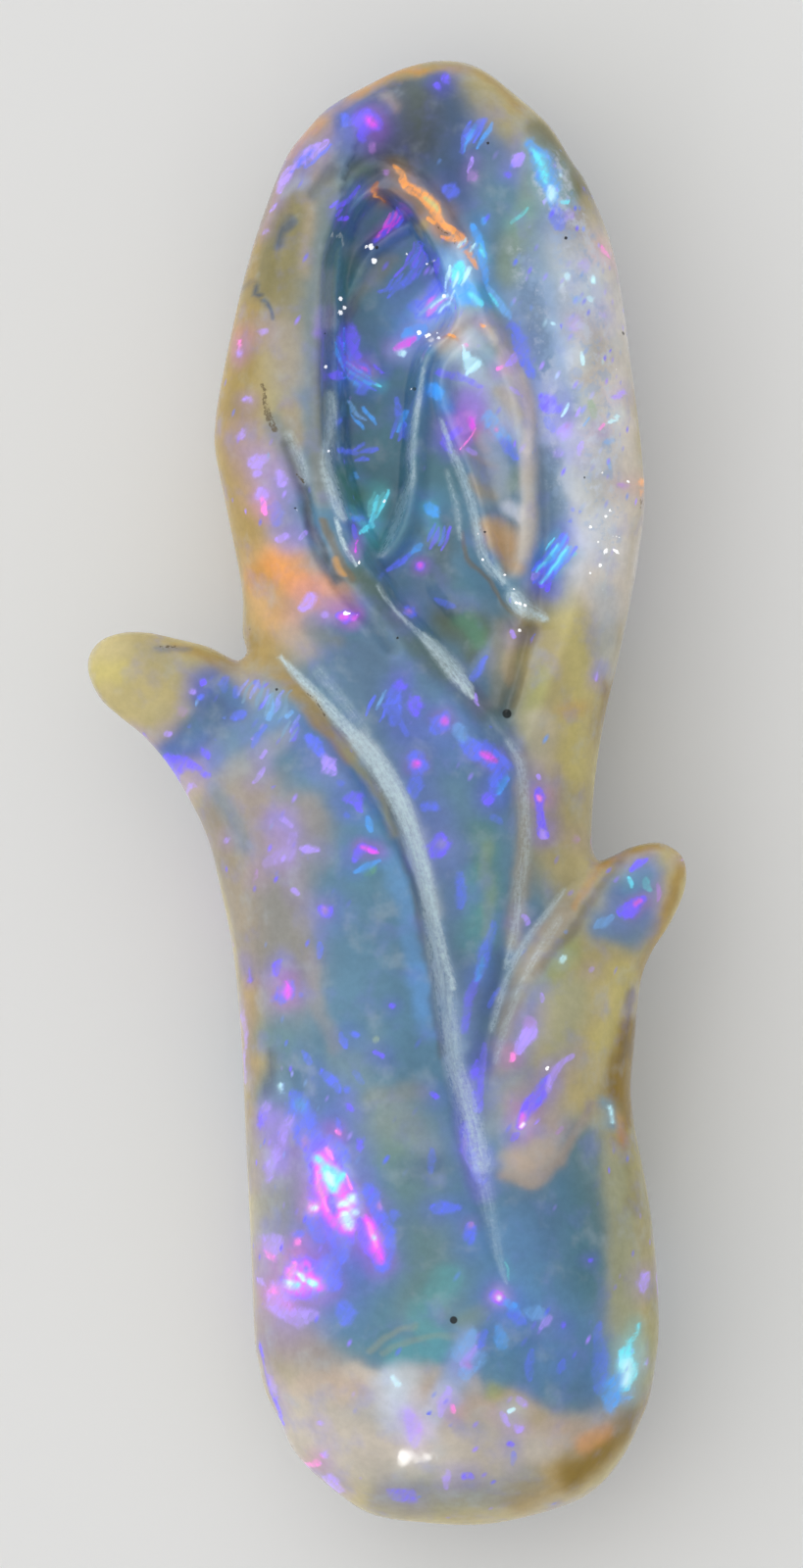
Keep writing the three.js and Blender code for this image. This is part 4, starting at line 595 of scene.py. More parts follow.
    ("pink", 0.05, 1, [(-1.62, -9.08), (-1.4, -9.3)]), ("pink", 0.05, 1, [(-1.02, -9.6), (-0.93, -10)]),
    ("cyan", 0.13, 1, [(-1.8, -9.25), (-1.72, -9.35)]),
    ("cyan", 0.22, 1, [(-1.58, -9.55), (-1.42, -9.75), (-1.42, -9.95)]),
    ("ice", 0.1, 1, [(-1.55, -9.65), (-1.42, -9.85)]), ("cyan", 0.1, 1, [(-1.3, -9.72), (-1.1, -9.6)]),
    ("ice", 0.1, 1, [(-1.12, -10.42)]), ("ice", 0.1, 1, [(-0.96, -10.27)]),
    ("ice", 0.1, 1, [(-0.9, -10.62)]), ("ice", 0.14, 1, [(-1.07, -10.75), (-1.03, -11)]),
    ("pink", 0.13, 1, [(-1.84, -10.53)]), ("ice", 0.06, 1, [(-1.84, -10.53)]),
    ("indigo", 0.26, 0.8, [(-0.5, -10.1), (-0.2, -10.7), (-0.02, -11.3), (-0.15, -12)]),
    ("violet", 0.25, 0.85, [(-0.75, -10.9), (-0.5, -11.2), (-0.25, -11.8)]),
    ("magenta", 0.15, 1, [(-0.6, -10.75), (-0.37, -11.22), (-0.2, -11.85)]),
    ("pink", 0.07, 1, [(-0.52, -10.95), (-0.3, -11.45)]), ("ice", 0.06, 1, [(-0.36, -11.26)]),
    ("mauve", 0.1, 0.8, [(-0.15, -10.48)]), ("indigo", 0.14, 0.5, [(0.25, -10.7)]),
    ("indigo", 0.17, 0.8, [(1.1, -10.5), (1.7, -10.45)]),
    ("indigo", 0.14, 0.8, [(1.15, -10.6), (1.4, -10.5)]),
    ("indigo", 0.17, 0.85, [(1.95, -11), (2.1, -11.4)]), ("mauve", 0.08, 0.8, [(2, -10.98)]),
    ("lilac", 0.28, 0.55, [(-2.85, -11.3), (-3, -11.6)]), ("indigo", 0.14, 0.7, [(-2.2, -11.2)]),
    ("pink", 0.1, 0.9, [(-3.12, -11.7), (-2.95, -11.76)]), ("pink", 0.11, 1, [(-2.2, -11.43)]),
    ("violet", 0.52, 0.9, [(-1.65, -12.1), (-2.1, -12.3), (-2.55, -12.6)]),
    ("indigo", 0.28, 0.7, [(-1.5, -11.8), (-1.42, -12.5)]),
    ("lilac", 0.33, 0.7, [(-2.85, -12.6), (-2.7, -13.2)]),
    ("lilac", 0.28, 0.6, [(-2.5, -13.35), (-1.95, -13.2)]),
    ("magenta", 0.28, 1, [(-2.05, -12.05), (-2.15, -12.4), (-2.5, -12.55)]),
    ("magenta", 0.2, 1, [(-1.9, -12.3), (-1.7, -12.5)]), ("pink", 0.09, 1, [(-2.3, -11.95), (-2.5, -12.3)]),
    ("violet", 0.08, 0.8, [(-2.05, -12.05)]), ("ice", 0.11, 1, [(-2.22, -12.2), (-2.15, -12.35)]),
    ("cyan", 0.15, 1, [(-1.95, -12.38), (-1.82, -12.42)]), ("ice", 0.07, 1, [(-1.88, -12.4)]),
    ("ice", 0.09, 1, [(-2.51, -12.5)]), ("cyan", 0.07, 1, [(-2.32, -12.5)]),
    ("pink", 0.1, 1, [(-2.94, -12.7)]), ("pink", 0.09, 1, [(-2.61, -13.02)]),
    ("lilac", 0.1, 0.8, [(-3.3, -12.5)]), ("indigo", 0.28, 0.65, [(-1.12, -13), (-1.05, -13.3)]),
    ("violet", 0.08, 0.95, [(-3.3, -14.05), (-3.2, -14.5), (-3, -15.2), (-2.8, -15.9)]),
    ("lilac", 0.12, 0.6, [(-2.95, -14.9), (-2.9, -15.3)]),
    # Right leaf
    ("violet", 0.1, 0.9, [(6.2, -2), (6.5, -1.85)]), ("cyan", 0.06, 0.7, [(6.13, -2.2), (6.17, -2.5)]),
    ("aqua", 0.11, 0.7, [(6.55, -2.3), (6.7, -2.6)]),
    ("violet", 0.18, 1, [(5.9, -3.02), (6.2, -3.05), (6.5, -2.85)]),
    ("magenta", 0.08, 0.8, [(6.3, -3), (6.45, -2.9)]), ("sky", 0.12, 0.7, [(5.3, -3.3), (5.65, -3.1)]),
    ("mauve", 0.07, 0.7, [(6.95, -2.5), (6.92, -2.8)]), ("lilac", 0.07, 0.5, [(7.35, -1.95)]),
    ("ice", 0.08, 0.6, [(4.45, -4.2)]), ("lilac", 0.07, 0.4, [(5.15, -4.5)]),
    ("lilac", 0.17, 0.95, [(3.6, -5.75), (3.55, -6.1), (3.3, -6.5)]), ("mauve", 0.13, 0.6, [(3.55, -5.75)]),
    ("pink", 0.11, 1, [(3.15, -6.6), (3.12, -6.75)]), ("lilac", 0.06, 0.6, [(3.92, -5), (3.88, -5.3)]),
    ("violet", 0.17, 1, [(4.2, -7.2), (3.9, -7.5), (3.6, -7.9), (3.35, -8.4)]),
    ("lilac", 0.1, 0.8, [(4.7, -6.65), (4.35, -7), (4.05, -7.5)]),
    ("magenta", 0.12, 1, [(3.45, -8.2), (3.4, -8.4)]), ("white", 0.06, 1, [(3.48, -8.32), (3.4, -8.4)]),
    ("violet", 0.09, 0.7, [(3.3, -8.6), (3.1, -8.75)]), ("mauve", 0.09, 0.5, [(4.25, -8.65), (4.4, -8.55)]),
    ("ice", 0.07, 0.8, [(5.6, -8), (5.65, -8.4)]),
    ("violet", 0.15, 0.6, [(1.9, -8.4), (2, -9), (2.2, -9.4)]),
    ("lilac", 0.1, 0.6, [(1.95, -8.8), (2.15, -9.5)]), ("periwinkle", 0.16, 0.7, [(2.1, -9), (2.3, -9.8)]),
    ("violet", 0.13, 0.8, [(1.1, -7.6), (1.2, -7.65)]), ("indigo", 0.12, 0.4, [(1.05, -9.5), (1.1, -9)]),
    # Lower right and foot
    ("violet", 0.22, 0.85, [(2.75, -12.7), (2.9, -12.8)]), ("magenta", 0.11, 1, [(2.85, -12.72)]),
    ("white", 0.05, 1, [(2.87, -12.75)]), ("azure", 0.15, 0.7, [(3.05, -12.9), (3.3, -13.15)]),
    ("indigo", 0.2, 0.7, [(3.1, -13.2), (3.4, -13.3)]), ("sky", 0.2, 0.5, [(3.6, -13.1), (3.9, -13.2)]),
    ("lilac", 0.1, 0.6, [(3.85, -13.5), (4.1, -13.25)]), ("violet", 0.09, 0.8, [(4.45, -13.45)]),
    ("violet", 0.06, 0.9, [(5.08, -11.85)]), ("indigo", 0.1, 0.6, [(4.4, -14.7), (4.5, -14.4)]),
    ("indigo", 0.15, 0.45, [(5.4, -13.4), (5.4, -15.2)]),
    ("indigo", 0.12, 0.5, [(3.6, -14.1), (3.6, -14.9)]), ("azure", 0.16, 0.5, [(2.8, -13.5), (2.9, -14)]),
    ("aqua", 0.04, 0.7, [(2.92, -11.85), (3.05, -12.3)]),
    ("sky", 0.26, 0.55, [(2.15, -13.7), (1.85, -14.2), (2.3, -14.3), (2, -14.7)]),
    ("lilac", 0.12, 0.7, [(2.2, -14), (1.95, -14.5)]), ("indigo", 0.1, 0.6, [(2.5, -13.6), (2.3, -14)]),
    ("mauve", 0.1, 0.7, [(2.1, -14.5)]), ("lilac", 0.12, 0.8, [(6.52, -12.2), (6.48, -12.6)]),
    ("lilac", 0.07, 0.5, [(6.6, -14.5)]), ("cyan", 0.06, 0.9, [(6.35, -13.5), (6.28, -14), (6.2, -14.3)]),
    # Painted highlight: the cyan stroke here and the ice one two lines below, a cyan-white spot near the
    # right edge
    ("cyan", 0.28, 1, [(6.05, -14.3), (6, -15)]),
    ("azure", 0.25, 0.8, [(5.8, -14.8), (5.7, -15.2), (5.6, -15.6)]),
    ("ice", 0.17, 1, [(6.08, -14.4), (6.02, -14.9)]), ("sky", 0.07, 0.8, [(6.13, -15.3)]),
    ("lilac", 0.14, 0.7, [(3.35, -15.4), (3.5, -15.5)]), ("ice", 0.08, 1, [(3.1, -15.7), (3.25, -15.65)]),
    ("lilac", 0.11, 0.7, [(2.9, -15.75), (3.05, -15.95)]), ("lilac", 0.1, 0.8, [(3.3, -16.05)]),
    ("violet", 0.09, 0.9, [(3.05, -16.55)]), ("indigo", 0.08, 0.5, [(3.15, -16.8), (3.15, -17.1)]),
    ("violet", 0.11, 0.8, [(2, -17.35), (2.1, -17.35)]), ("lilac", 0.1, 0.5, [(1.6, -17.3), (1.5, -17.6)]),
    ("pink", 0.12, 0.7, [(0.65, -16), (0.75, -16.15)]), ("lilac", 0.2, 0.45, [(0.6, -15.7), (0.7, -16.4)]),
    ("ice", 0.14, 0.6, [(0.2, -14.75), (0.3, -14.95)]), ("pink", 0.1, 0.7, [(1.6, -15.5), (1.65, -15.65)]),
    ("lilac", 0.1, 0.5, [(1.55, -15.1), (1.3, -15.8)]), ("lilac", 0.07, 0.7, [(-1.73, -16.1)]),
    ("pink", 0.1, 0.8, [(-1.85, -17.02)]), ("lilac", 0.1, 0.8, [(-1.55, -16.75), (-1.6, -17)]),
    ("lilac", 0.12, 0.85, [(-1.55, -17.4), (-1.2, -17.75)]),
    ("violet", 0.15, 0.6, [(0, -17.8), (0.7, -18)]),
]

# Bundles of fine parallel flashes: colours, x, y, lean in degrees, length, width, count
BUNDLES = [
    (["violet", "magenta"], -0.1, 14.5, 62, 0.7, 0.4, 6),
    (["indigo", "violet"], 0.4, 13.5, 62, 0.7, 0.5, 6), (["indigo"], 0, 13, 65, 0.5, 0.2, 3),
    (["ice", "sky", "magenta"], 1.3, 12.5, 52, 0.6, 0.35, 5), (["sky", "ice"], 2, 13.8, 60, 0.45, 0.4, 4),
    (["ice", "cyan"], 1.75, 13.1, 65, 0.6, 0.5, 5),
    (["violet", "indigo", "azure"], -1, 11.4, 110, 0.8, 0.5, 6),
    (["indigo", "azure"], -0.7, 10.8, 150, 0.8, 0.4, 5),
    (["indigo", "azure", "cyan"], 4.25, 5.95, 52, 1.2, 0.5, 7),
    (["cyan", "aqua"], -0.35, 7.3, 78, 0.9, 0.3, 4), (["violet"], -1.2, 14.9, 30, 0.4, 0.25, 3),
    (["indigo", "lilac"], -2.1, 16.1, 47, 1.3, 0.3, 4),
    (["steel", "periwinkle"], -2.9, 2.2, 62, 0.9, 0.5, 4),
    (["steel", "periwinkle"], -3.5, 2.5, 60, 0.8, 0.5, 4),
    (["steel", "periwinkle"], -2.4, 1.7, 62, 0.7, 0.3, 3), (["indigo", "sky"], -0.2, 2.3, 62, 0.8, 0.4, 3),
    (["azure", "indigo"], 2.2, 16.6, 68, 1.2, 0.5, 4), (["indigo"], 3.4, 11.2, 115, 0.9, 0.15, 3),
    (["sky", "lilac", "ice"], 4.8, 9.6, 58, 0.35, 0.7, 3), (["azure", "sky"], -0.6, 9.6, 120, 0.8, 0.3, 3),
    (["indigo", "azure"], 0.35, 9.3, 70, 0.7, 0.2, 3), (["violet", "indigo"], 1.2, 6.4, 62, 0.9, 0.4, 4),
    (["indigo"], -0.5, 8.6, 15, 0.5, 0.3, 3),
]
BUNDLE_RADIUS = 0.048
BUNDLE_STRENGTH = 0.8
BUNDLE_SHIFT = 0.25
BUNDLE_HALF = (0.25, 0.5)

# Ground, unpolished grooves and walls: strength, path of (x, y, radius)
FROST = [
    (0.75, [(-2.8, 3.55, 0.05), (-2.35, 3.05, 0.1), (-1.9, 2.6, 0.13), (-1.3, 1.95, 0.17),
        (-0.75, 1.35, 0.18)]),
    (1, [(-1.1, 1.7, 0.1), (-0.7, 1.3, 0.2), (-0.2, 0.65, 0.25), (0.18, 0, 0.24), (0.52, -0.75, 0.21),
        (0.9, -1.95, 0.18), (1.12, -2.9, 0.14), (1.3, -3.6, 0.1), (1.46, -4.2, 0.08), (1.68, -4.95, 0.06)]),
    (0.62, [(0.95, -2.5, 0.15), (1.14, -3.4, 0.21), (1.34, -4.4, 0.25), (1.5, -5.4, 0.26),
        (1.64, -6.7, 0.22)]),
    (0.62, [(1.55, -6, 0.22), (1.7, -6.9, 0.25), (1.98, -7.8, 0.28), (2.15, -8.5, 0.3),
        (2.37, -9.4, 0.28)]),
    (0.33, [(2.3, -9.1, 0.26), (2.5, -10.2, 0.25), (2.68, -11.1, 0.2), (2.85, -11.9, 0.12),
        (3, -12.4, 0.05)]), (0.35, [(-1.75, 3.1, 0.2), (-1.1, 2.3, 0.2), (-0.5, 1.5, 0.15)]),
    (0.45, [(3.05, 1.3, 0.12), (3.35, 0.8, 0.17), (3.45, 0, 0.18), (3.5, -0.9, 0.18), (3.48, -1.6, 0.17),
        (3.35, -2.3, 0.18), (3.28, -3, 0.17), (3.15, -3.8, 0.14), (3, -4.4, 0.1)]),
    (0.48, [(4.5, -2.45, 0.07), (4.1, -2.95, 0.1), (3.6, -3.6, 0.1), (3.25, -4.2, 0.1), (3, -4.8, 0.1),
        (2.8, -5.4, 0.09), (2.65, -6, 0.08)]),
    (0.36, [(4.35, -3.2, 0.14), (3.9, -3.9, 0.15), (3.5, -4.6, 0.14), (3.2, -5.3, 0.12), (2.9, -6.2, 0.12),
        (2.75, -6.8, 0.1)]),
    (0.9, [(0.9, 4, 0.1), (1.3, 3.6, 0.18), (1.7, 3.1, 0.2), (2.05, 2.65, 0.14), (2.15, 2.45, 0.06)]),
    (0.6, [(-0.25, 5.3, 0.05), (0, 4.9, 0.05), (0.5, 4.35, 0.06), (0.9, 4, 0.08)]),
    (0.6, [(-1.45, 10.15, 0.12), (-1.4, 9.7, 0.14), (-1.5, 9, 0.14), (-1.55, 8.4, 0.17), (-1.4, 7.8, 0.2),
        (-1.25, 7.3, 0.17), (-1.1, 7, 0.1)]),
    (0.9, [(-1.3, 6.95, 0.05), (-1.15, 6.4, 0.05), (-1, 6.1, 0.05), (-0.8, 5.8, 0.04)]),
    (0.48, [(0.9, 10.8, 0.06), (0.8, 10, 0.1), (0.65, 9.3, 0.12), (0.58, 8.6, 0.12), (0.6, 8, 0.13),
        (0.4, 7.5, 0.16), (0.25, 7, 0.15), (0, 6.4, 0.12), (-0.15, 6.1, 0.1)]),
    (0.62, [(1.35, 9.5, 0.06), (1.6, 8.8, 0.1), (1.85, 8.2, 0.12), (2.1, 7.5, 0.12), (2.25, 6.9, 0.12),
        (2.35, 6.3, 0.12), (2.5, 5.9, 0.14), (2.75, 5.6, 0.14), (2.95, 5.35, 0.1)]),
    (0.4, [(1.5, 8.2, 0.08), (1.75, 7.3, 0.1), (1.85, 6.5, 0.08)]),
    (0.7, [(3.2, 5, 0.2), (3.4, 4.75, 0.24), (3.7, 4.6, 0.2), (4, 4.45, 0.1)]),
    (0.4, [(-2.5, 9.1, 0.15), (-2.2, 8.4, 0.15), (-2.1, 7.9, 0.12)]),
    (0.3, [(5.5, 7.1, 0.3), (5.6, 6.2, 0.4), (5.5, 5.2, 0.25)]),
]

# Grime caught in cracks and notches: path of (x, y, radius)
GRIME = [
    [(-3.2, 10.4, 0.08), (-3.1, 9.7, 0.14), (-2.9, 9.2, 0.1)], [(-2.35, 8.15, 0.08), (-2.2, 7.95, 0.07)],
    [(-3.62, 4.2, 0.12), (-3.58, 4, 0.1)], [(-3.5, 3.55, 0.09)], [(-2.05, 2.5, 0.04), (-1.6, 2, 0.05)],
    [(1.38, 14.5, 0.04), (1.55, 14.3, 0.04)], [(1.7, 14.1, 0.035), (1.7, 13.88, 0.03)],
    [(6.4, 7.6, 0.03), (6.45, 7.2, 0.03)], [(-5.75, 4, 0.08), (-5.35, 3.88, 0.09)],
]

# Tiny pits and black specks: x, y, radius
PITS = [
    (3.03, 2.03, 0.12), (1.67, -13.34, 0.1), (2.55, 16.55, 0.04), (4.35, 16.25, 0.03), (4.53, 14.13, 0.045),
    (6, 11.7, 0.055), (6.03, 11.1, 0.035), (5, 8.03, 0.03), (0.68, 10.3, 0.05), (-0.28, 13.92, 0.05),
    (0.25, 3.95, 0.035), (-2.82, 2.65, 0.04), (2.47, 6.65, 0.035), (6.25, 6.8, 0.03), (-1.6, 11.7, 0.03),
    (-2.35, 7.25, 0.03),
]

# Painted highlights: bright white points painted into the colour and the glow where small facets catch the
# light: x, y, radius
PAINTED_HIGHLIGHTS = [
    (-0.43, 13.95, 0.09), (-0.55, 13.93, 0.05), (-0.35, 13.58, 0.08), (-1.2, 12.6, 0.06),
    (-1.1, 12.38, 0.055), (-1.2, 12.25, 0.07), (0.8, 11.75, 0.07), (0.97, 11.65, 0.055),
    (1.43, 12.68, 0.06), (1.3, 11.6, 0.05), (1.27, 11.75, 0.03), (1.05, 11.7, 0.05), (-1.57, 10.85, 0.05),
    (-1.5, 8.7, 0.04), (0.6, 10.3, 0.03), (-0.08, 7.45, 0.05), (-0.72, 5.87, 0.05), (-1.07, 4.57, 0.06),
    (-0.98, 4.58, 0.04), (-0.78, 4.53, 0.03), (4.12, 16.3, 0.03), (4.55, 15.5, 0.03), (0.48, 13.75, 0.03),
    (1, 13.5, 0.03), (5.65, 7.2, 0.04), (5.55, 7.05, 0.04), (5.7, 6.85, 0.05), (5.8, 6.85, 0.04),
    (5.85, 6.9, 0.03), (5.8, 6.52, 0.09), (5.82, 6.4, 0.05), (5.55, 6.15, 0.08), (5.75, 6.25, 0.06),
    (5.85, 6.15, 0.06), (5.9, 6.02, 0.04), (5.4, 5.8, 0.05), (5.62, 5.82, 0.04), (5.15, 5.6, 0.04),
    (5.77, 5.6, 0.03), (5.15, 6.78, 0.04), (5.48, 5.15, 0.04), (5.65, 5.2, 0.03), (5.57, 5.1, 0.03),
    (5.35, 6.4, 0.03), (3.25, 4.85, 0.04), (3.36, 4.83, 0.05), (3.49, 4.78, 0.05), (3.2, 5.2, 0.03),
    (2.97, 5.55, 0.04), (3.35, 4.15, 0.05), (2.42, 5.95, 0.04), (2.3, 6.6, 0.03), (4.05, -6.97, 0.06),
    (-2.3, 7.2, 0.03), (5.45, 8.15, 0.03), (5.85, 10.78, 0.035), (5.9, 12.1, 0.03), (6.1, 7.95, 0.04),
]

# Where small scattered flashes are dense: strength, path of (x, y, radius)
GLITTER = [
    (0.9, [(4, 16, 0.5), (4.6, 14.4, 0.8), (5, 12.5, 0.9), (5.2, 10.5, 0.9), (5.4, 8.5, 0.8),
        (5.5, 6.5, 0.6)]), (0.75, [(3.4, 13.8, 0.5), (3.9, 11.8, 0.6), (4.2, 9.5, 0.6), (4.4, 7.4, 0.5)]),
    (0.6, [(1.3, 13.2, 0.7), (0.6, 12.2, 0.7), (-0.8, 11.2, 0.6)]),
    (0.6, [(2.2, 10.8, 0.5), (2.2, 9.4, 0.7)]), (0.4, [(-0.5, 7.5, 0.5), (-0.5, 6.6, 0.4)]),
    (0.4, [(-3.4, 9, 0.4), (-3, 7.5, 0.5)]), (0.5, [(-4.6, 2.3, 0.5), (-3.2, 1.8, 0.8)]),
    (0.35, [(-2.8, -0.6, 0.7), (-2.6, -1.8, 0.6)]), (0.4, [(0.6, 2, 0.8), (2.4, 0.8, 0.6)]),
    (0.5, [(-2.4, -6.8, 0.7), (-1.4, -8, 1), (-1, -10, 1.1), (-1.6, -12, 1)]),
    (0.45, [(-2.8, -9, 0.5), (-2.9, -12.4, 0.7)]), (0.2, [(3.6, -8, 0.7)]),
    (0.45, [(2.8, -13, 0.7), (4.4, -14.2, 0.9)]), (0.35, [(0.4, -15.4, 0.6), (3, -15.8, 0.6)]),
]
GLITTER_EVERYWHERE = 0.04
GLITTER_COLOURS = ["indigo", "violet", "lilac", "violet", "indigo", "sky", "lilac", "ice", "ice"]
# Painted glow: share of the milky body colour sent out as light from within the stone
PAINTED_GLOW = 0.12

# Brushwork, in millimetres and shares of a stroke's radius
BRUSH_STEP = 0.15
BRUSH_REACH = 1.9
BRUSH_EDGE = 3
FROST_SOFTNESS = 2.2
FLASH_EDGE = 2
FLASH_EDGE_RISE = 5
STROKE_END = 0.6
SIDE_FADE = 1.0

# Shift of the painted points: seed, and noise size, amount on the front, amount down the sides
WOBBLE_SEED = 4
WOBBLES = [(0.9, 0.14, 0.3), (0.33, 0.06, 0.1), (2.6, 0, 2.4)]
HAZE = 0.2
HAZE_SPREAD = 1.8
HAZE_EDGE = 0.12
# Depth in from the outline over which the cream and painted edge glow turns to sea
EDGE_DEPTH = 2.2

# Scatter on the back, lean of the flashes' streaks, and depth where the front's marks fade out
BACK_SEED = 7
BACK_FLASHES = 90
BACK_COLOURS = ["violet", "indigo", "azure", "lilac", "cyan", "aqua", "fern"]
BACK_LEAN_SPREAD = 0.4
BACK_HALF = (0.1, 0.6)
BACK_RADIUS = (0.08, 0.3)
BACK_STRENGTH = (0.5, 1)
CORE_FROM = 0.2
CORE_SHARE = 0.4
SIDE_MIST = 0.35
FLASH_LEAN = math.radians(56)
FRONT_FADE = 1.6

# Noises of the material: scale per millimetre, octaves and roughness
DEPTH_NOISE = (0.7, 3, 0.5)
FINE_NOISE = (4.0, 5, 0.65)
WISP_NOISE = (1.2, 3, 0.5)
TINT_NOISE = (1.1, 3, 0.5)
CRACKLE_NOISE = (2.3, 4, 0.6)
RAGGED_NOISE = (5.5, 4, 0.7)
STREAK_NOISE = (1.8, 2, 0.5)
HIGHLIGHT_NOISE = (13, 1)
LANE_NOISE = (1.4, 3, 0.6)
COAT_NOISE = (9, 3, 0.7)
GRIME_NOISE = (11, 2, 0.6)
GRAIN_NOISE = (18, 3, 0.7)
SCRATCH_NOISE = (2, 2)
WAVE_NOISE = (1.2, 2, 0.4)
CELL_SCALE = 5.0
DASH_SCALE = 4.6

# Ramps of the material: where they start and end, and what they give there if not 0 and 1
DEPTH_RAMP = (0.3, 0.7, 0.92, 1.08)
FINE_RAMP = (0.3, 0.7, 0.95, 1.05)
WISP_RAMP = (0.52, 0.8, 0.0, 0.3)
TINT_RAMP = (0.5, 0.8, 0.0, 0.3)
CRACKLE_WHERE = (0.6, 0.85)
CRACKLE_BRIGHT = (0.48, 0.66, 0.0, 0.6)
CRACKLE_BLUE = (0.48, 0.34, 0.0, 0.45)
RAGGED_RAMP = (0.1, 0.85)
STREAK_RAMP = (0.3, 0.65, 0.72, 1.1)
CELL_RAMP = (0.0, 1.0, 0.65, 1.1)
DASH_SHAPE = (0.04, 0.45, 1.0, 0.0)
DASH_POWER = (0.0, 1.0, 0.2, 0.9)
DASH_HUE = (0.2, 0.9, 0.6, 1.0)
HIGHLIGHT_RAMP = (0.5, 0.75)
COAT_EDGE = (0.05, 0.95)
COAT_RAMP = (-0.5, 0.3, 0.42, 1.0)
GRIME_RAMP = (0.36, 0.56, 0.0, 0.85)
PIT_RAMP = (0.35, 0.7)
ROUGHNESS_RAMP = (0.0, 0.7, 0.07, 0.75)

# Stretch of the patterns along the axes, and shift of the bluish wisps from the milky ones
STREAK_STRETCH = (0.8, 6.0, 1.0)
DASH_STRETCH = (0.45, 1.1, 1.0)
SCRATCH_STRETCH = (9, 1.5, 5)
LANE_STRETCH = 9.0
TINT_SHIFT = (7, 3, 1)

# Shares: raggedness, chance of a dash, unevenness of the painted highlights, frost's lanes and grain,
# heights in the bump, and the painted glow, which the frost cuts
RAGGED_REACH = 0.8
DASH_CHANCE = 0.55
HIGHLIGHT_UNEVEN = 1.6
LANE_SHARE = 1.1
COAT_SHARE = 1.2
COAT_RAGGED = 0.5
SCRATCH_HEIGHT = 0.05
WAVE_HEIGHT = 0.6
FLASH_COVER = 0.8
FLASH_GLOW = 0.75
GLINT_GLOW = 0.6
FROST_SHADE = 0.8
NO_GLOW = (0, 0, 0, 1)
BUMP_DEPTH = 0.04 * MM
BUMP_STRENGTH = 0.7
OPAL_FINISH = {
    "Emission Strength": 0.6, "IOR": 1.45, "Subsurface Weight": 0.5, "Subsurface Scale": MM,
    "Subsurface Radius": (1.0, 1.0, 1.1),
}

# Floor
FLOOR_SIZE = 3
FLOOR_COLOUR = (0.86, 0.86, 0.85, 1)
FLOOR_ROUGHNESS = 0.7

# Mesh
TRACE_STEP = 0.2
OUTLINE_STEP = 0.1
FRONT_SPACING = 0.099
BACK_SPACING = 0.18
FINE_SPACING = 0.0435
RING_TURN = math.radians(5)
RING_COUNT = 8

# Fine points: widest stroke that gets them, and how far they reach past its radius
FINE_RADIUS = 0.13
FINE_STRETCH = 1.15
FINE_MARGIN = 0.02

# Gaps between the mesh's points: share of a ring's inset, share of a ring's turn, and millimetres
RING_ROOM = 0.93
INNER_GAP = 0.6
EDGE_GAP = 0.05

# Limits of the arithmetic: distances worked out at once, points taken as one, and least weight
BATCH = 400_000
SAME_POINT = 1e-7
LEAST_WEIGHT = 1e-6


def smooth(t):
    t = np.clip(t, 0, 1)
    return t * t * (3 - 2 * t)


def round_off(t):
    return np.sqrt(1 - (1 - np.clip(t, 0, 1)) ** 2)


def mix(a, b, t):
    return a + (b - a) * t


def row_value(rows, y, column):
    """Smooth curve through one column of rows that run down in y."""
    rows = np.array(rows[::-1], float)
    ys, values = rows[:, 0], rows[:, column]
    y = np.clip(y, ys[0], ys[-1])
    i = np.clip(np.searchsorted(ys, y, side="right") - 1, 0, len(ys) - 2)
    slopes = np.empty(len(ys))
    slopes[1:-1] = (values[2:] - values[:-2]) / (ys[2:] - ys[:-2])
    slopes[0] = (values[1] - values[0]) / (ys[1] - ys[0])
    slopes[-1] = (values[-1] - values[-2]) / (ys[-1] - ys[-2])
    span = ys[i + 1] - ys[i]
    t = (y - ys[i]) / span
    rise = values[i + 1] - values[i]
    bend = span * (slopes[i] * (1 - t) - slopes[i + 1] * t) + rise * (2 * t - 1)
    return values[i] + rise * t + t * (1 - t) * bend


def trace(points, step=TRACE_STEP, closed=False):
    """Points along the smooth curve through given points, their other values mixed linearly."""
    p = np.array(points, float)
    if closed:
        ring = np.vstack([p[-1:], p, p[:2]])
    else:
        ring = np.vstack([2 * p[:1] - p[1:2], p, 2 * p[-1:] - p[-2:-1]])
    out = []
    for i in range(1, len(ring) - 2):
        p0, p1, p2, p3 = ring[i - 1:i + 3]
        pieces = max(1, round(float(np.hypot(*(p2 - p1)[:2])) / step))
        t = (np.arange(pieces) / pieces)[:, None]
        m1, m2 = (p2 - p0) / 2, (p3 - p1) / 2
        curved = p1 + (2 * t**3 - 3 * t**2) * (p1 - p2)
        curved += (t**3 - 2 * t**2 + t) * m1 + (t**3 - t**2) * m2
        curved[:, 2:] = (p1 + (p2 - p1) * t)[:, 2:]
        out.append(curved)
    return np.vstack(out) if closed else np.vstack(out + [p[-1:]])


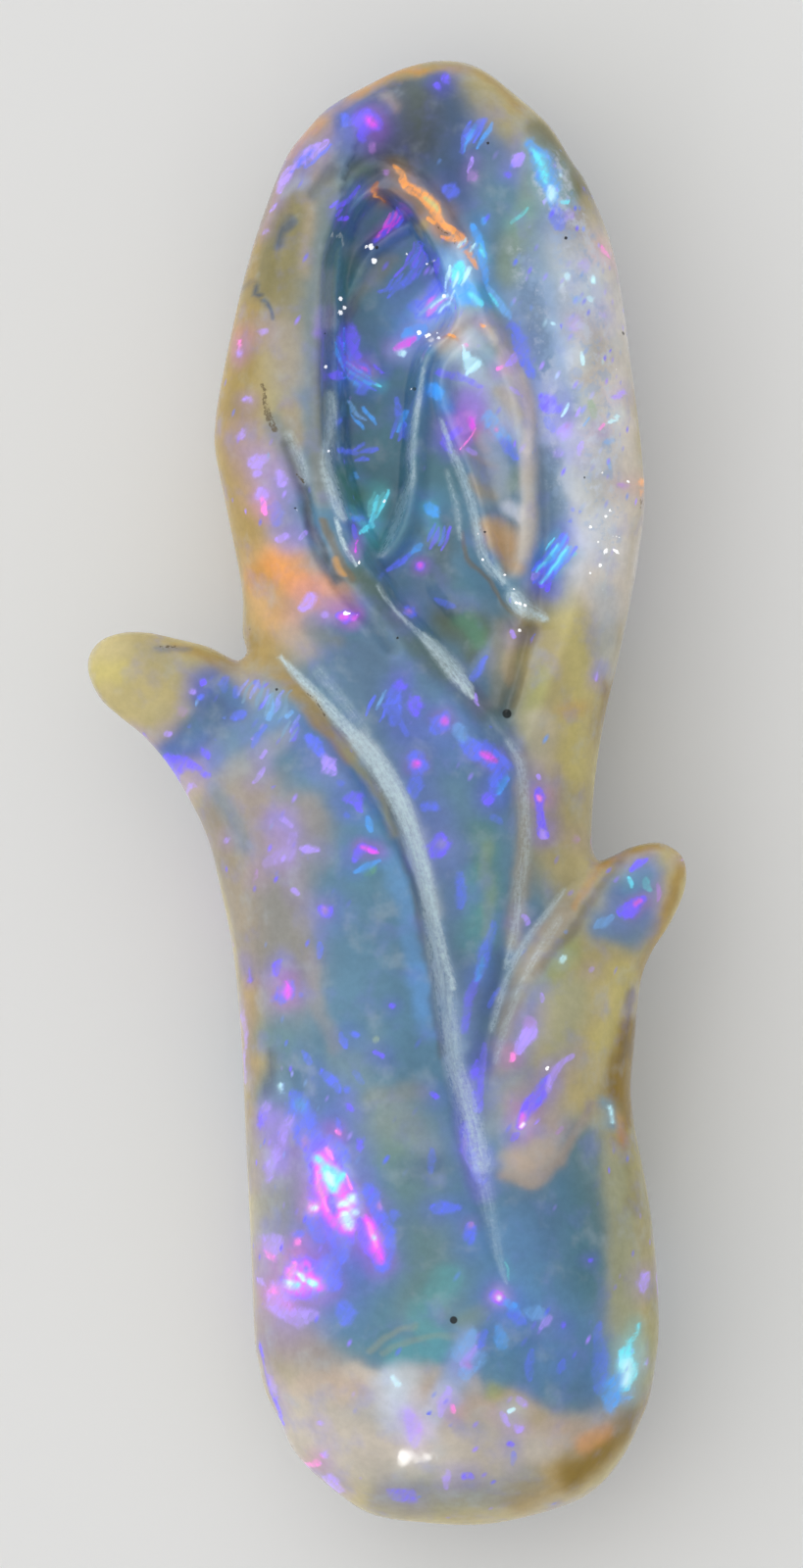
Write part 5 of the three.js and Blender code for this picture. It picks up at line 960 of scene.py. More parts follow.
def nearest(path, xy, closed=False):
    """Signed distance to a path, positive on its left hand, and the path's values there."""
    a = path if closed else path[:-1]
    b = np.roll(path, -1, axis=0) if closed else path[1:]
    ax, ay = a[:, 0].astype("f4"), a[:, 1].astype("f4")
    dx, dy = (b - a)[:, 0].astype("f4"), (b - a)[:, 1].astype("f4")
    per_square = 1 / (dx * dx + dy * dy)
    offsets, values = [], []
    for part in np.array_split(xy.astype("f4"), max(1, len(xy) * len(a) // BATCH)):
        rx, ry = part[:, :1] - ax, part[:, 1:] - ay
        t = (rx * dx + ry * dy) * per_square
        t = np.minimum(np.maximum(t, 0, out=t), 1, out=t)
        gx, gy = rx - t * dx, ry - t * dy
        square = gx * gx + gy * gy
        k = square.argmin(1)
        rows = np.arange(len(part))
        side = dx[k] * ry[rows, k] - dy[k] * rx[rows, k]
        offsets.append(np.where(side < 0, -1, 1) * np.sqrt(square[rows, k]))
        values.append(mix(a[k, 2:], b[k, 2:], t[rows, k][:, None]))
    return np.concatenate(offsets).astype(float), np.concatenate(values)


def inside_distance(path, xy):
    """Distance to a closed path that runs clockwise, positive inside."""
    return -nearest(path, xy, closed=True)[0]


outline = trace(OUTLINE, closed=True)
left_leaf_edge = trace(LEFT_LEAF_EDGE)
hood_margin = trace(HOOD_MARGIN)
right_leaf_edge = trace(RIGHT_LEAF_EDGE)
hood_crest = trace(HOOD_CREST)


def raised(path, edge, xy):
    """Share of a closed form's full height, over a soft wall inside its outline."""
    path = trace(path, closed=True)
    near = under_box(xy, path[:, :2].min(0), path[:, :2].max(0))
    share = np.zeros(len(xy))
    share[near] = smooth(inside_distance(path, xy[near]) / edge)
    return share


def under_box(xy, low, high):
    return np.flatnonzero(((xy > low) & (xy < high)).all(1))


class Fields:
    """Heights of the stone's front and back over a set of points."""

    def __init__(self, xy):
        self.xy = xy
        self.x, self.y = xy[:, 0], xy[:, 1]
        self.inside = inside_distance(outline, xy)
        self.left_leaf = nearest(left_leaf_edge, xy)
        self.right_leaf = nearest(right_leaf_edge, xy)
        self.body()

    def tip_share(self, tip, edge_offset, blend):
        x, y, _, _, reach = tip
        along = (np.hypot(self.x - x, self.y - y) - TIP_LENGTH) / reach
        return (1 - smooth(along)) * smooth(0.5 - edge_offset / blend)

    def body(self):
        """Swell of the front and back, and height of the rim."""
        self.front = row_value(THICKNESS, self.y, 1)
        self.back = row_value(THICKNESS, self.y, 2)
        self.rim = np.full(len(self.xy), RIM_HEIGHT)
        for tip, (offset, _) in ((LEFT_TIP, self.left_leaf), (RIGHT_TIP, self.right_leaf)):
            share = self.tip_share(tip, offset, FRONT_TIP_BLEND)
            self.front = mix(self.front, tip[2], share)
            self.back = mix(self.back, tip[2], self.tip_share(tip, offset, BACK_TIP_BLEND))
            self.rim = self.rim + tip[3] * share

    def front_rounding(self):
        return FRONT_ROUNDING * self.front

    def back_rounding(self):
        return BACK_ROUNDING * self.back

    def overlap_cut(self, edge):
        offset, values = edge
        depth, floor, shoulder = values.T
        roll = 1 - np.cos(np.clip(1 + offset / shoulder, 0, 1) * math.pi / 2)
        rise = 1 - smooth((offset - floor) / STEP_RISE)
        return depth * np.where(offset < 0, roll, rise)

    def hood_hollow(self, margin_offset):
        crest, values = nearest(hood_crest, self.xy)
        left = smooth(margin_offset / HOLLOW_WALL)
        right = smooth(-crest / values[:, 0])
        return row_value(HOLLOW_DEPTH, self.y, 1) * left * right

    def relief(self):
        margin = nearest(hood_margin, self.xy)
        rise = -self.hood_hollow(margin[0])
        rise += BUD_RISE * raised(BUD_RIM, BUD_EDGE, self.xy)
        rise -= PIT_DEPTH * raised(BUD_PIT, PIT_WALL, self.xy)
        rise += PETAL_RISE * raised(PETAL, PETAL_EDGE, self.xy)
        rise -= PETAL_DEPTH * raised(PETAL_HOLLOW, PETAL_WALL, self.xy)
        for edge in (self.left_leaf, margin, self.right_leaf):
            rise -= self.overlap_cut(edge)
        for height, half_width, path in RIDGES:
            near, share = ridge_share(trace(path), half_width, self.xy)
            rise[near] += height * share
        return rise

    def front_height(self):
        inside = np.maximum(0, self.inside)
        across = (self.x - CENTRE_X - CENTRE_LEAN * self.y) / CROWN_HALF_WIDTH
        crown = 1 - CROWN * np.minimum(CROWN_LIMIT, np.abs(across)) ** 2
        swell = self.front * round_off(inside / self.front_rounding()) * crown
        return self.rim + swell + self.relief() * smooth(inside / RIM_GUARD)

    def back_height(self):
        inside = np.maximum(0, self.inside)
        return np.maximum(0, self.rim - self.back * round_off(inside / self.back_rounding()))


def ridge_share(path, half_width, xy):
    """Points near a ridge, and the share of its height there."""
    near = under_box(xy, path.min(0) - half_width, path.max(0) + half_width)
    offset, _ = nearest(path, xy[near])
    return near, 1 - smooth(np.abs(offset) / half_width)


def brush(xy, path, radius=None, end=1, edge=BRUSH_EDGE):
    """Points under a stroke, and its weight: 1 along the middle, half at its radius, then fading.

    A stroke with a radius tapers towards its ends to the given share of it. Without a radius,
    each point of the path gives its own.
    """
    path = trace(path, BRUSH_STEP) if len(path) > 1 else np.array(path, float)
    if radius:
        taper = np.sin(np.linspace(0, math.pi, len(path))) if len(path) > 1 else np.ones(1)
        path = np.column_stack([path, radius * mix(end, 1, taper)])
    reach = BRUSH_REACH * path[:, 2].max()
    under = under_box(xy, path[:, :2].min(0) - reach, path[:, :2].max(0) + reach)
    if len(path) > 1:
        offset, values = nearest(path, xy[under])
    else:
        offset = np.linalg.norm(xy[under] - path[0, :2], axis=1)
        values = np.repeat(path[:, 2:], len(under), axis=0)
    return under, 0.5 ** (np.abs(offset / values[:, 0]) ** edge) * (np.abs(offset) < reach)


def ring_normals(ring):
    along = np.roll(ring, -1, axis=0) - np.roll(ring, 1, axis=0)
    inward = np.stack([along[:, 1], -along[:, 0]], 1)
    return inward / np.linalg.norm(inward, axis=1)[:, None]


def rim_rings(ring, rounding):
    """Rings inside the outline where the rounding of the rim turns by equal angles."""
    inward = ring_normals(ring)
    rings = []
    for turn in range(1, RING_COUNT + 1):
        inset = (1 - math.cos(turn * RING_TURN)) * rounding
        points = ring + inward * inset[:, None]
        rings.append(points[inside_distance(outline, points) > inset * RING_ROOM])
    return np.vstack(rings)


class Grid:
    """Staggered rows of points over the stone's box."""

    def __init__(self, spacing):
        self.low = outline.min(0)
        self.step = np.array([spacing, spacing * math.sqrt(3) / 2])
        self.size = np.ceil((outline.max(0) - self.low) / self.step).astype(int)

    def points(self, wanted=None):
        columns, rows = np.meshgrid(np.arange(self.size[0]), np.arange(self.size[1]))
        if wanted is not None:
            columns, rows = columns[wanted], rows[wanted]
        columns, rows = columns.ravel(), rows.ravel()
        return self.low + np.stack([columns + rows % 2 / 2, rows], 1) * self.step

    def marked(self, xy, wanted):
        """Whether the nearest grid point of each point is wanted."""
        rows = np.clip(np.round((xy[:, 1] - self.low[1]) / self.step[1]), 0, self.size[1] - 1)
        columns = np.round((xy[:, 0] - self.low[0]) / self.step[0] - rows % 2 / 2)
        columns = np.clip(columns, 0, self.size[0] - 1)
        return wanted[rows.astype(int), columns.astype(int)]


def fine_detail():
    """Fine grid points under the narrow strokes, so that small marks keep their shape."""
    fine = Grid(FINE_SPACING)
    points = fine.points()
    wanted = np.zeros(len(points), bool)
    for path, radius in narrow_strokes():
        under, weight = brush(points, path, radius * FINE_STRETCH + FINE_MARGIN)
        wanted[under[weight > 0]] = True
    return fine, wanted.reshape(fine.size[1], fine.size[0])


def narrow_strokes():
    for _, radius, _, path in front_flashes() + WASHES:
        if radius < FINE_RADIUS:
            yield path, radius
    for x, y, radius in PITS + PAINTED_HIGHLIGHTS:
        yield [(x, y)], radius
    for path in GRIME:
        yield [point[:2] for point in path], max(point[2] for point in path)


def sheet_points(ring, rounding_of, spacing, detailed):
    """The outline's points first, then the rim's rings, then grids inside them."""
    rings = rim_rings(ring, rounding_of(Fields(ring)))
    reach = 1 - math.cos((RING_COUNT + INNER_GAP) * RING_TURN)
    inner = Grid(spacing).points()
    if detailed:
        fine, wanted = fine_detail()
        inner = np.vstack([inner[~fine.marked(inner, wanted)], fine.points(wanted)])
    inner = inner[inside_distance(outline, inner) > EDGE_GAP]
    fields = Fields(inner)
    inner = inner[fields.inside > reach * rounding_of(fields)]
    return np.vstack([ring, rings, inner])


def triangles(points, ring_count):
    """Triangles of a sheet, without those that bridge a notch of the outline."""
    vectors = [Vector(p) for p in points]
    _, _, faces, origins, _, _ = delaunay_2d_cdt(vectors, [], [], 0, SAME_POINT, True)
    first = np.array([ids[0] for ids in origins])
    faces = first[np.array(faces)]
    on_rim = (faces < ring_count).all(1)
    bridging = inside_distance(outline, points[faces[on_rim]].mean(1)) <= 0
    keep = np.ones(len(faces), bool)
    keep[np.flatnonzero(on_rim)[bridging]] = False
    return faces[keep]


def without_twins(faces):
    """Faces less the slivers that front and back share along the rim, which enclose nothing."""
    corners = np.sort(faces, axis=1)
    _, which, counts = np.unique(corners, axis=0, return_inverse=True, return_counts=True)
    return faces[counts[which.ravel()] == 1]


def stone_mesh():
    """Vertices in millimetres, triangles, and the fields of each vertex."""
    ring = trace(OUTLINE, OUTLINE_STEP, closed=True)[:, :2]
    front = sheet_points(ring, Fields.front_rounding, FRONT_SPACING, True)
    back = sheet_points(ring, Fields.back_rounding, BACK_SPACING, False)
    count = len(ring)
    front_faces = triangles(front, count)
    back_faces = triangles(back, count)[:, ::-1]
    back_faces = np.where(back_faces < count, back_faces, back_faces - count + len(front))
    xy = np.vstack([front, back[count:]])
    fields = Fields(xy)
    is_front = np.arange(len(xy)) < len(front)
    z = np.where(is_front, fields.front_height(), fields.back_height())
    z[:count] = fields.rim[:count]
    return np.column_stack([xy, z]), without_twins(np.vstack([front_faces, back_faces])), fields


def linear(name):
    """A palette colour in linear light."""
    code = PALETTE[name]
    parts = np.array([int(code[i:i + 2], 16) for i in (0, 2, 4)]) / 255
    return np.where(parts < 0.04045, parts / 12.92, ((parts + 0.055) / 1.055) ** 2.4)


def wobble(points, rim):
    """Points moved a little, and more down the sides, so that painted strokes get uneven edges."""
    noise.seed_set(WOBBLE_SEED)
    moved = points[:, :2].copy()
    side = smooth((rim + SIDE_FADE - points[:, 2]) / (2 * SIDE_FADE))
    for size, on_front, on_side in WOBBLES:
        amounts = mix(on_front, on_side, side)
        for i in np.flatnonzero(amounts > 0).tolist():
            shift = noise.noise_vector(Vector(points[i]) / size + Vector((size, size, size)))
            moved[i] += np.array(shift[:2]) * amounts[i]
    return moved


def body_colour(xy, inside):
    """Soft colour of the stone, cream at the outline as its own tone and a painted glow through the thin
    edges, and a haze of each flash's colour round it.
    """
    colour = mix(linear("cream"), linear("sea"), smooth(inside / EDGE_DEPTH)[:, None])
    layers = [(wash, 1) for wash in WASHES] + [(flash, HAZE) for flash in FLASHES]
    for (name, radius, strength, path), share in layers:
        spread = radius if share == 1 else HAZE_SPREAD * radius + HAZE_EDGE
        under, weight = brush(xy, path, spread)
        colour[under] = mix(colour[under], linear(name), (weight * strength * share)[:, None])
    return colour


def flash_colour(xy, strokes):
    """Colour and strength of the play of colour, and the mask of where it shows."""
    paint = np.zeros((len(xy), 5))
    mask = np.zeros(len(xy))
    for name, radius, strength, path in strokes:
        edge = FLASH_EDGE + FLASH_EDGE_RISE * radius
        under, weight = brush(xy, path, radius, STROKE_END, edge)
        full = np.append(linear(name), [strength, 1])
        paint[under] = mix(paint[under], full, weight[:, None])
        mask[under] = np.maximum(mask[under], weight)
    return paint[:, :4] / np.maximum(paint[:, 4:], LEAST_WEIGHT), mask


def stroke_mask(xy, strokes):
    """Strongest weight of strokes given as strength and path."""
    mask = np.zeros(len(xy))
    for strength, path in strokes:
        under, weight = brush(xy, path)
        mask[under] = np.maximum(mask[under], weight * strength)
    return mask


def ground_fields(xy):
    """Mask of the frosted strokes, and the distance across the strongest of them."""
    mask, across = np.zeros(len(xy)), np.zeros(len(xy))
    for strength, path in FROST:
        under, weight = brush(xy, path, edge=FROST_SOFTNESS)
        stronger = weight * strength > mask[under]
        under, weight = under[stronger], weight[stronger]
        mask[under] = weight * strength
        across[under] = nearest(trace(path, BRUSH_STEP), xy[under])[0]
    return mask, across


def spot_mask(xy, spots):
    return stroke_mask(xy, [(1, [spot]) for spot in spots])


def bundle(names, x, y, lean, length, width, count):
    """Thin strokes side by side, as the stone's fine parallel flashes, leaning by degrees."""
    along = np.array([math.cos(math.radians(lean)), math.sin(math.radians(lean))])
    across = np.array([-along[1], along[0]])
    draw = np.random.default_rng(count)
    strokes = []
    for index in range(count):
        middle = (x, y) + across * width * (index / (count - 1) - 0.5)
        middle = middle + along * length * draw.uniform(-BUNDLE_SHIFT, BUNDLE_SHIFT)
        half = along * length * draw.uniform(*BUNDLE_HALF)
        name = names[index % len(names)]
        path = [tuple(middle - half), tuple(middle + half)]
        strokes.append((name, BUNDLE_RADIUS, BUNDLE_STRENGTH, path))
    return strokes


def front_flashes():
    return FLASHES + [stroke for row in BUNDLES for stroke in bundle(*row)]


def back_flashes():
    """Scattered play of colour for the back, which the front's strokes don't reach."""
    draw = np.random.default_rng(BACK_SEED)
    strokes = []
    for _ in range(BACK_FLASHES):
        middle = draw.uniform(outline.min(0), outline.max(0))
        lean = draw.normal(FLASH_LEAN, BACK_LEAN_SPREAD)
        half = draw.uniform(*BACK_HALF) * np.array([math.cos(lean), math.sin(lean)])
        name = str(draw.choice(BACK_COLOURS))
        radius = draw.uniform(*BACK_RADIUS)
        path = [tuple(middle - half), tuple(middle + half)]
        strokes.append((name, radius, draw.uniform(*BACK_STRENGTH), path))
        if radius > CORE_FROM:
            strokes.append(("magenta", radius * CORE_SHARE, 1, path))
    return strokes


def store(mesh, name, rgba):
    attribute = mesh.attributes.new(name, "FLOAT_COLOR", "POINT")
    attribute.data.foreach_set("color", rgba.astype("f4").ravel())


def paint_stone(mesh, points, fields):
    """Stores body colour and pits, play of colour, and masks of the finish and of the painted highlights at
    each vertex.
    """
    xy = wobble(points, fields.rim)
    below = smooth((fields.rim - points[:, 2]) / FRONT_FADE)
    body = body_colour(xy, fields.inside)
    body = mix(body, linear("mist"), (SIDE_MIST * below)[:, None])
    front, front_mask = flash_colour(xy, front_flashes())
    back, back_mask = flash_colour(xy, back_flashes())
    flash = np.where((below > 0.5)[:, None], back, front)
    flash_mask = np.where(below > 0.5, back_mask * smooth(2 * below - 1),
                          front_mask * smooth(1 - 2 * below))
    above = 1 - below
    store(mesh, "body", np.column_stack([body, spot_mask(fields.xy, PITS) * above]))
    store(mesh, "flash", flash)
    ground_mask, across = ground_fields(fields.xy)
    # Marks: flashes, frost, grime, and the painted highlights
    marks = [flash_mask, ground_mask * above,
             stroke_mask(xy, [(1, path) for path in GRIME]) * above,
             spot_mask(fields.xy, PAINTED_HIGHLIGHTS) * above]
    store(mesh, "marks", np.column_stack(marks))
    glitter_amount = np.maximum(GLITTER_EVERYWHERE, stroke_mask(xy, GLITTER) * above)
    for name, values in (("glitter", glitter_amount), ("across", across)):
        attribute = mesh.attributes.new(name, "FLOAT", "POINT")
        attribute.data.foreach_set("value", values.astype("f4"))


class Graph:
    """Short calls for the shader nodes of one material."""

    def __init__(self, name):
        self.material = bpy.data.materials.new(name)
        self.material.use_nodes = True
        self.tree = self.material.node_tree
        self.shader = self.tree.nodes["Principled BSDF"]

    def plug(self, socket, value):
        if isinstance(value, bpy.types.NodeSocket):
            self.tree.links.new(value, socket)
        else:
            socket.default_value = value

    def node(self, kind, inputs=(), **settings):
        made = self.tree.nodes.new("ShaderNode" + kind)
        for key, value in settings.items():
            setattr(made, key, value)
        for key, value in dict(inputs).items():
            self.plug(made.inputs[key], value)
        return made

    def math(self, operation, *values, clamp=False):
        made = self.node("Math", enumerate(values), operation=operation, use_clamp=clamp)
        return made.outputs[0]

    def vector(self, operation, a, b):
        """A vector with another, or with a scale, which has a socket of its own."""
        second = "Scale" if operation == "SCALE" else 1
        return self.node("VectorMath", {0: a, second: b}, operation=operation).outputs[0]

    def noise(self, vector, scale, detail=2.0, roughness=0.5):
        inputs = {"Vector": vector, "Scale": scale, "Detail": detail, "Roughness": roughness}
        return self.node("TexNoise", inputs).outputs["Fac"]

    def ramp(self, value, low, high, to_low=0.0, to_high=1.0):
        inputs = {"Value": value, "From Min": low, "From Max": high, "To Min": to_low,
                  "To Max": to_high}
        made = self.node("MapRange", inputs, interpolation_type="SMOOTHSTEP")
        return made.outputs["Result"]

    def blend(self, share, a, b):
        return self.node("Mix", {0: share, 6: a, 7: b}, data_type="RGBA").outputs[2]

    def parts(self, colour):
        """Red, green and blue of a colour as three values."""
        return self.node("SeparateColor", {"Color": colour}).outputs[:3]

    def rainbow(self, value, names):
        """Colours of the palette, evenly spaced along a value from 0 to 1."""
        made = self.node("ValToRGB", {"Fac": value})
        stops = made.color_ramp.elements
        for _ in names[2:]:
            stops.new(0.5)
        for index, (stop, name) in enumerate(zip(stops, names)):
            stop.position = index / (len(names) - 1)
            stop.color = self.colour(name)
        return made.outputs["Color"]

    def colour(self, name):
        return (*linear(name), 1)


def opal_material():
    """Milky opal: cloudy body, ragged flashes, glitter, frosted grooves, grime, pits, painted highlights,
    and a painted glow from within.
    """
    g = Graph("opal")
    place = g.vector("SCALE", g.node("TexCoord").outputs["Object"], 1 / MM)
    body = g.node("Attribute", attribute_name="body").outputs
    flash = g.node("Attribute", attribute_name="flash").outputs
    marks = g.node("Attribute", attribute_name="marks").outputs
    flash_mask, frost_mask, grime_mask = g.parts(marks["Color"])
    turned = g.node("VectorRotate", {"Vector": place, "Angle": -FLASH_LEAN}, rotation_type="Z_AXIS")
    turned = turned.outputs[0]
    glitter_amount = g.node("Attribute", attribute_name="glitter").outputs["Fac"]
    milky = crackled(g, place, cloudy(g, place, body["Color"]), glitter_amount)
    shown = flash_share(g, place, turned, flash_mask, flash["Alpha"])
    glint, glint_colour = glitter(g, turned, glitter_amount)
    frost = frosted(g, place, frost_mask)
    painted_highlight = sparkling(g, place, marks["Alpha"])

    colour = g.blend(g.math("MULTIPLY", shown, FLASH_COVER), milky, flash["Color"])
    colour = g.blend(glint, colour, glint_colour)
    colour = g.blend(frost, colour, g.colour("frost"))
    colour = grimy(g, place, colour, grime_mask, body["Alpha"])
    # Painted highlights: white over the colour where small facets catch the light
    colour = g.blend(painted_highlight, colour, g.colour("white"))
    g.plug(g.shader.inputs["Base Color"], colour)

    # Painted glow: the body, flashes, glitter and highlights sent out as emission, a light from within that
    # no lamp gives; frost cuts it
    painted_glow = g.blend(g.math("MULTIPLY", shown, FLASH_GLOW), g.vector("SCALE", milky, PAINTED_GLOW), flash["Color"])
    painted_glow = g.blend(g.math("MULTIPLY", glint, GLINT_GLOW), painted_glow, glint_colour)
    painted_glow = g.blend(g.math("MULTIPLY", frost, FROST_SHADE), painted_glow, NO_GLOW)
    painted_glow = g.blend(painted_highlight, painted_glow, g.colour("white"))
    g.plug(g.shader.inputs["Emission Color"], painted_glow)
    g.plug(g.shader.inputs["Roughness"], g.ramp(frost, *ROUGHNESS_RAMP))
    g.plug(g.shader.inputs["Normal"], surface_bump(g, place, frost))
    for socket, value in OPAL_FINISH.items():
        g.shader.inputs[socket].default_value = value
    return g.material


def cloudy(g, place, colour):
    """Slow changes of depth, and thin milky and bluish wisps."""
    depth = g.ramp(g.noise(place, *DEPTH_NOISE), *DEPTH_RAMP)
    fine = g.ramp(g.noise(place, *FINE_NOISE), *FINE_RAMP)
    colour = g.vector("SCALE", colour, g.math("MULTIPLY", depth, fine))
    wisps = g.ramp(g.noise(place, *WISP_NOISE), *WISP_RAMP)
    colour = g.blend(wisps, colour, g.colour("milk"))
    tint = g.ramp(g.noise(g.vector("ADD", place, TINT_SHIFT), *TINT_NOISE), *TINT_RAMP)
    return g.blend(tint, colour, g.colour("periwinkle"))


def crackled(g, place, colour, amount):
    """Bright and blue flecks in the milky stone, where small flashes are densest."""
    grain = g.noise(place, *CRACKLE_NOISE)
    amount = g.ramp(amount, *CRACKLE_WHERE)
    bright = g.math("MULTIPLY", g.ramp(grain, *CRACKLE_BRIGHT), amount)
    blue = g.math("MULTIPLY", g.ramp(grain, *CRACKLE_BLUE), amount)
    colour = g.blend(bright, colour, g.colour("snow"))
    return g.blend(blue, colour, g.colour("powder"))


def flash_share(g, place, turned, mask, strength):
    """Share of the flashes' colour: they fade out raggedly and break into streaks and cells."""
    ragged = g.math("SUBTRACT", g.noise(place, *RAGGED_NOISE), 0.5)
    shown = g.ramp(g.math("ADD", mask, g.math("MULTIPLY", ragged, RAGGED_REACH)), *RAGGED_RAMP)
    streaks = g.noise(g.vector("MULTIPLY", turned, STREAK_STRETCH), *STREAK_NOISE)
    cells = g.node("TexVoronoi", {"Vector": turned, "Scale": CELL_SCALE}).outputs["Color"]
    shown = g.math("MULTIPLY", shown, g.ramp(g.parts(cells)[0], *CELL_RAMP))
    shown = g.math("MULTIPLY", shown, g.ramp(streaks, *STREAK_RAMP))
    return g.math("MULTIPLY", shown, strength, clamp=True)


def glitter(g, turned, amount):
    """Small scattered flashes, each a short dash with a colour of its own."""
    dashes = g.vector("MULTIPLY", turned, DASH_STRETCH)
    cells = g.node("TexVoronoi", {"Vector": dashes, "Scale": DASH_SCALE}).outputs
    chance, hue, power = g.parts(cells["Color"])
    lit = g.math("LESS_THAN", chance, g.math("MULTIPLY", amount, DASH_CHANCE))
    spot = g.ramp(cells["Distance"], *DASH_SHAPE)
    share = g.math("MULTIPLY", g.math("MULTIPLY", lit, spot), g.ramp(power, *DASH_POWER))
    hue = g.math("MULTIPLY", hue, g.ramp(amount, *DASH_HUE))
    return share, g.rainbow(hue, GLITTER_COLOURS)


def sparkling(g, place, mask):
    """Painted highlights: bright white points with uneven edges."""
    uneven = g.math("MULTIPLY", g.math("SUBTRACT", g.noise(place, *HIGHLIGHT_NOISE), 0.5), HIGHLIGHT_UNEVEN)
    return g.ramp(g.math("ADD", mask, g.math("MULTIPLY", uneven, mask)), *HIGHLIGHT_RAMP)


def frosted(g, place, mask):
    """Ground surface: a pale coat, streaked along the groove, thinner towards its edges."""
    across = g.node("Attribute", attribute_name="across").outputs["Fac"]
    along = g.node("SeparateXYZ", {0: place}).outputs[1]
    lanes = g.node("CombineXYZ", {0: g.math("MULTIPLY", across, LANE_STRETCH), 1: along}).outputs[0]
    streaks = g.math("SUBTRACT", g.noise(lanes, *LANE_NOISE), 0.5)
    grain = g.math("SUBTRACT", g.noise(place, *COAT_NOISE), 0.5)
    coat = g.math("ADD", g.math("MULTIPLY", streaks, LANE_SHARE), g.math("MULTIPLY", grain, COAT_SHARE))
    edge = g.math("ADD", mask, g.math("MULTIPLY", coat, g.math("MULTIPLY", mask, COAT_RAGGED)))
    return g.math("MULTIPLY", g.ramp(edge, *COAT_EDGE), g.ramp(coat, *COAT_RAMP))


def grimy(g, place, colour, grime, pits):
    """Brown specks where grime is caught, and black pits."""
    dirty = g.ramp(g.math("MULTIPLY", g.noise(place, *GRIME_NOISE), grime), *GRIME_RAMP)
    colour = g.blend(dirty, colour, g.colour("soil"))
    return g.blend(g.ramp(pits, *PIT_RAMP), colour, g.colour("black"))


def surface_bump(g, place, frost):
    """Faint polishing scratches everywhere, and a coarse grain where the stone is frosted."""
    grain = g.math("MULTIPLY", g.noise(place, *GRAIN_NOISE), frost)
    scratches = g.noise(g.vector("MULTIPLY", place, SCRATCH_STRETCH), *SCRATCH_NOISE)
    scratches = g.math("MULTIPLY", scratches, SCRATCH_HEIGHT)
    waves = g.math("MULTIPLY", g.noise(place, *WAVE_NOISE), WAVE_HEIGHT)
    height = g.math("ADD", g.math("ADD", grain, scratches), waves)
    inputs = {"Height": height, "Distance": BUMP_DEPTH, "Strength": BUMP_STRENGTH}
    return g.node("Bump", inputs).outputs[0]


def add_mesh(name, points, faces):
    mesh = bpy.data.meshes.new(name)
    mesh.from_pydata(points.tolist(), [], faces.tolist())
    mesh.update()
    mesh.shade_smooth()
    piece = bpy.data.objects.new(name, mesh)
    bpy.context.collection.objects.link(piece)
    return piece


def make_stone():
    points, faces, fields = stone_mesh()
    low, high = points.min(0), points.max(0)
    centre = np.array([(low[0] + high[0]) / 2, (low[1] + high[1]) / 2, 0])
    piece = add_mesh("opal_stone", (points - centre) * MM, faces)
    paint_stone(piece.data, points, fields)
    piece.data.materials.append(opal_material())
    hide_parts(NODE)
    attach(piece, "root")
    return piece


def make_floor():
    bpy.ops.mesh.primitive_plane_add(size=FLOOR_SIZE, location=(0, 0, 0))
    floor = bpy.context.object
    floor.name = "floor"
    material = bpy.data.materials.new("floor_pale")
    material.use_nodes = True
    shader = material.node_tree.nodes["Principled BSDF"]
    shader.inputs["Base Color"].default_value = FLOOR_COLOUR
    shader.inputs["Roughness"].default_value = FLOOR_ROUGHNESS
    floor.data.materials.append(material)


# Photograph: frame in pixels, stone per pixel, and the pixel of the part's origin
PHOTO_SIZE = (819, 1600)
PIXEL_MM = 0.025
ORIGIN_PIXEL = (395, 809)
LENS = 500
SENSOR = 36
CLIP_START = 0.01


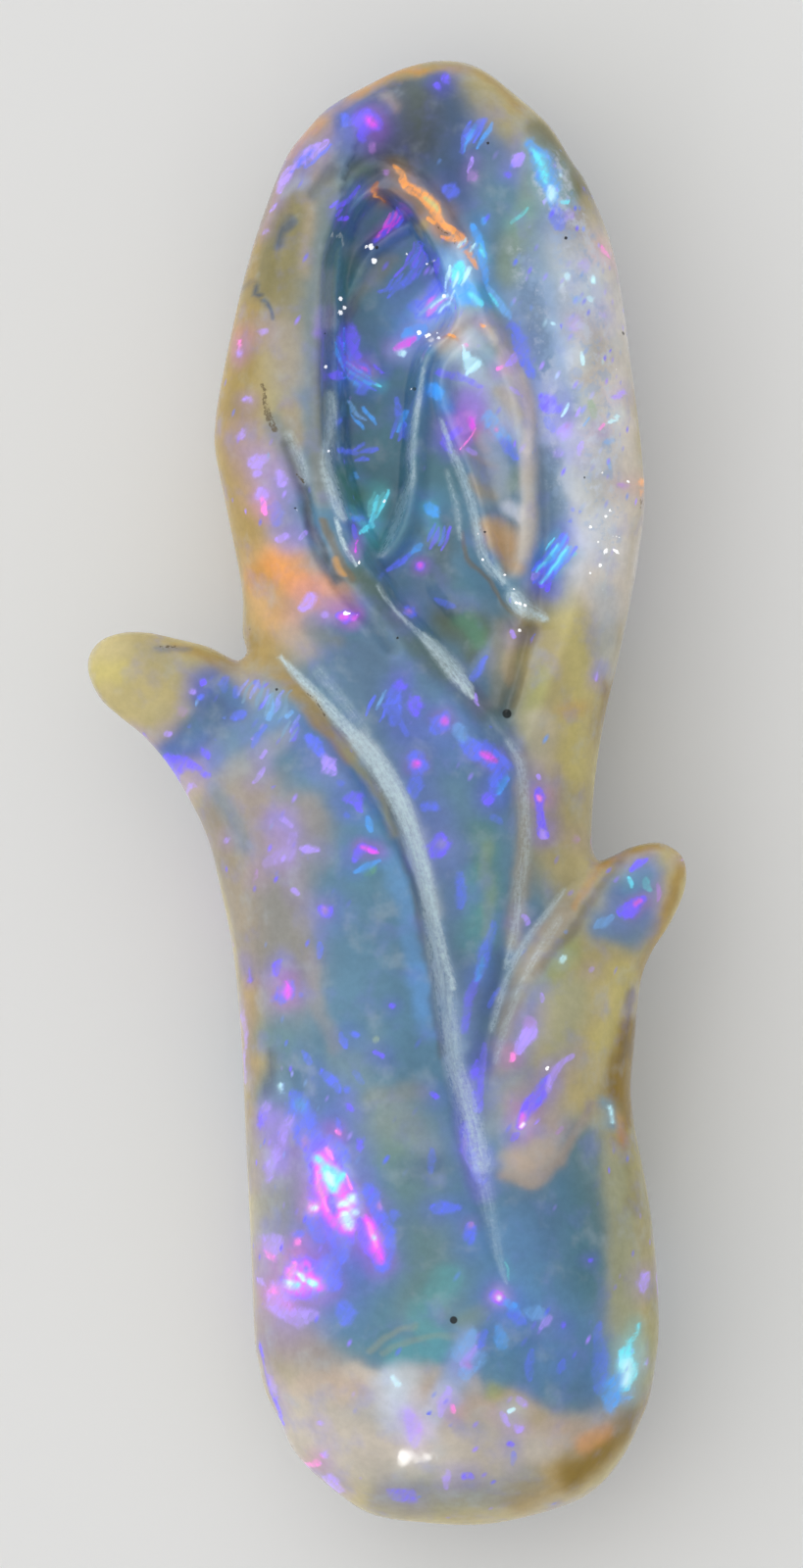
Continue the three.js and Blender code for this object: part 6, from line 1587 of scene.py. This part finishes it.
def make_camera():
    """Looks straight down, with the photograph's framing at the height of the rim."""
    camera = bpy.data.objects.new("camera", bpy.data.cameras.new("camera"))
    bpy.context.collection.objects.link(camera)
    camera.data.lens = LENS
    camera.data.sensor_width = SENSOR
    distance = PHOTO_SIZE[1] * PIXEL_MM * LENS / SENSOR
    x = (PHOTO_SIZE[0] / 2 - ORIGIN_PIXEL[0]) * PIXEL_MM
    y = (ORIGIN_PIXEL[1] - PHOTO_SIZE[1] / 2) * PIXEL_MM
    camera.location = Vector((x, y, RIM_HEIGHT + distance)) * MM
    camera.data.clip_start = CLIP_START
    bpy.context.scene.camera = camera


# Light: level all round, then brighter parts as direction, cosines where they start and are full,
# and strength
SKY_LEVEL = 0.52
SKY_LIGHTS = [
    ((-0.75, 0.5, 0.45), -0.1, 1, 0.75),
    ((-0.16, -0.945, 0.29), 0.97, 1, 1.5),
    ((-0.16, -0.945, 0.29), 0.9975, 0.9995, 16),
]


def make_lights():
    """A white sky with a broad bright side and soft-edged windows of light."""
    world = bpy.data.worlds.new("studio")
    bpy.context.scene.world = world
    world.use_nodes = True
    nodes, links = world.node_tree.nodes, world.node_tree.links
    nodes["Background"].inputs["Color"].default_value = (1, 1, 1, 1)
    place = nodes.new("ShaderNodeTexCoord").outputs["Generated"]
    total = None
    for towards, start, full, strength in SKY_LIGHTS:
        facing = nodes.new("ShaderNodeVectorMath")
        facing.operation = "DOT_PRODUCT"
        facing.inputs[1].default_value = Vector(towards).normalized()
        links.new(place, facing.inputs[0])
        share = nodes.new("ShaderNodeMapRange")
        share.interpolation_type = "SMOOTHSTEP"
        share.inputs["From Min"].default_value = start
        share.inputs["From Max"].default_value = full
        share.inputs["To Max"].default_value = strength
        links.new(facing.outputs["Value"], share.inputs["Value"])
        both = nodes.new("ShaderNodeMath")
        links.new(share.outputs["Result"], both.inputs[0])
        both.inputs[1].default_value = SKY_LEVEL
        if total:
            links.new(total, both.inputs[1])
        total = both.outputs[0]
    links.new(total, nodes["Background"].inputs["Strength"])


make_stone()
make_floor()
make_camera()
make_lights()
bpy.context.scene.view_settings.view_transform = "Standard"
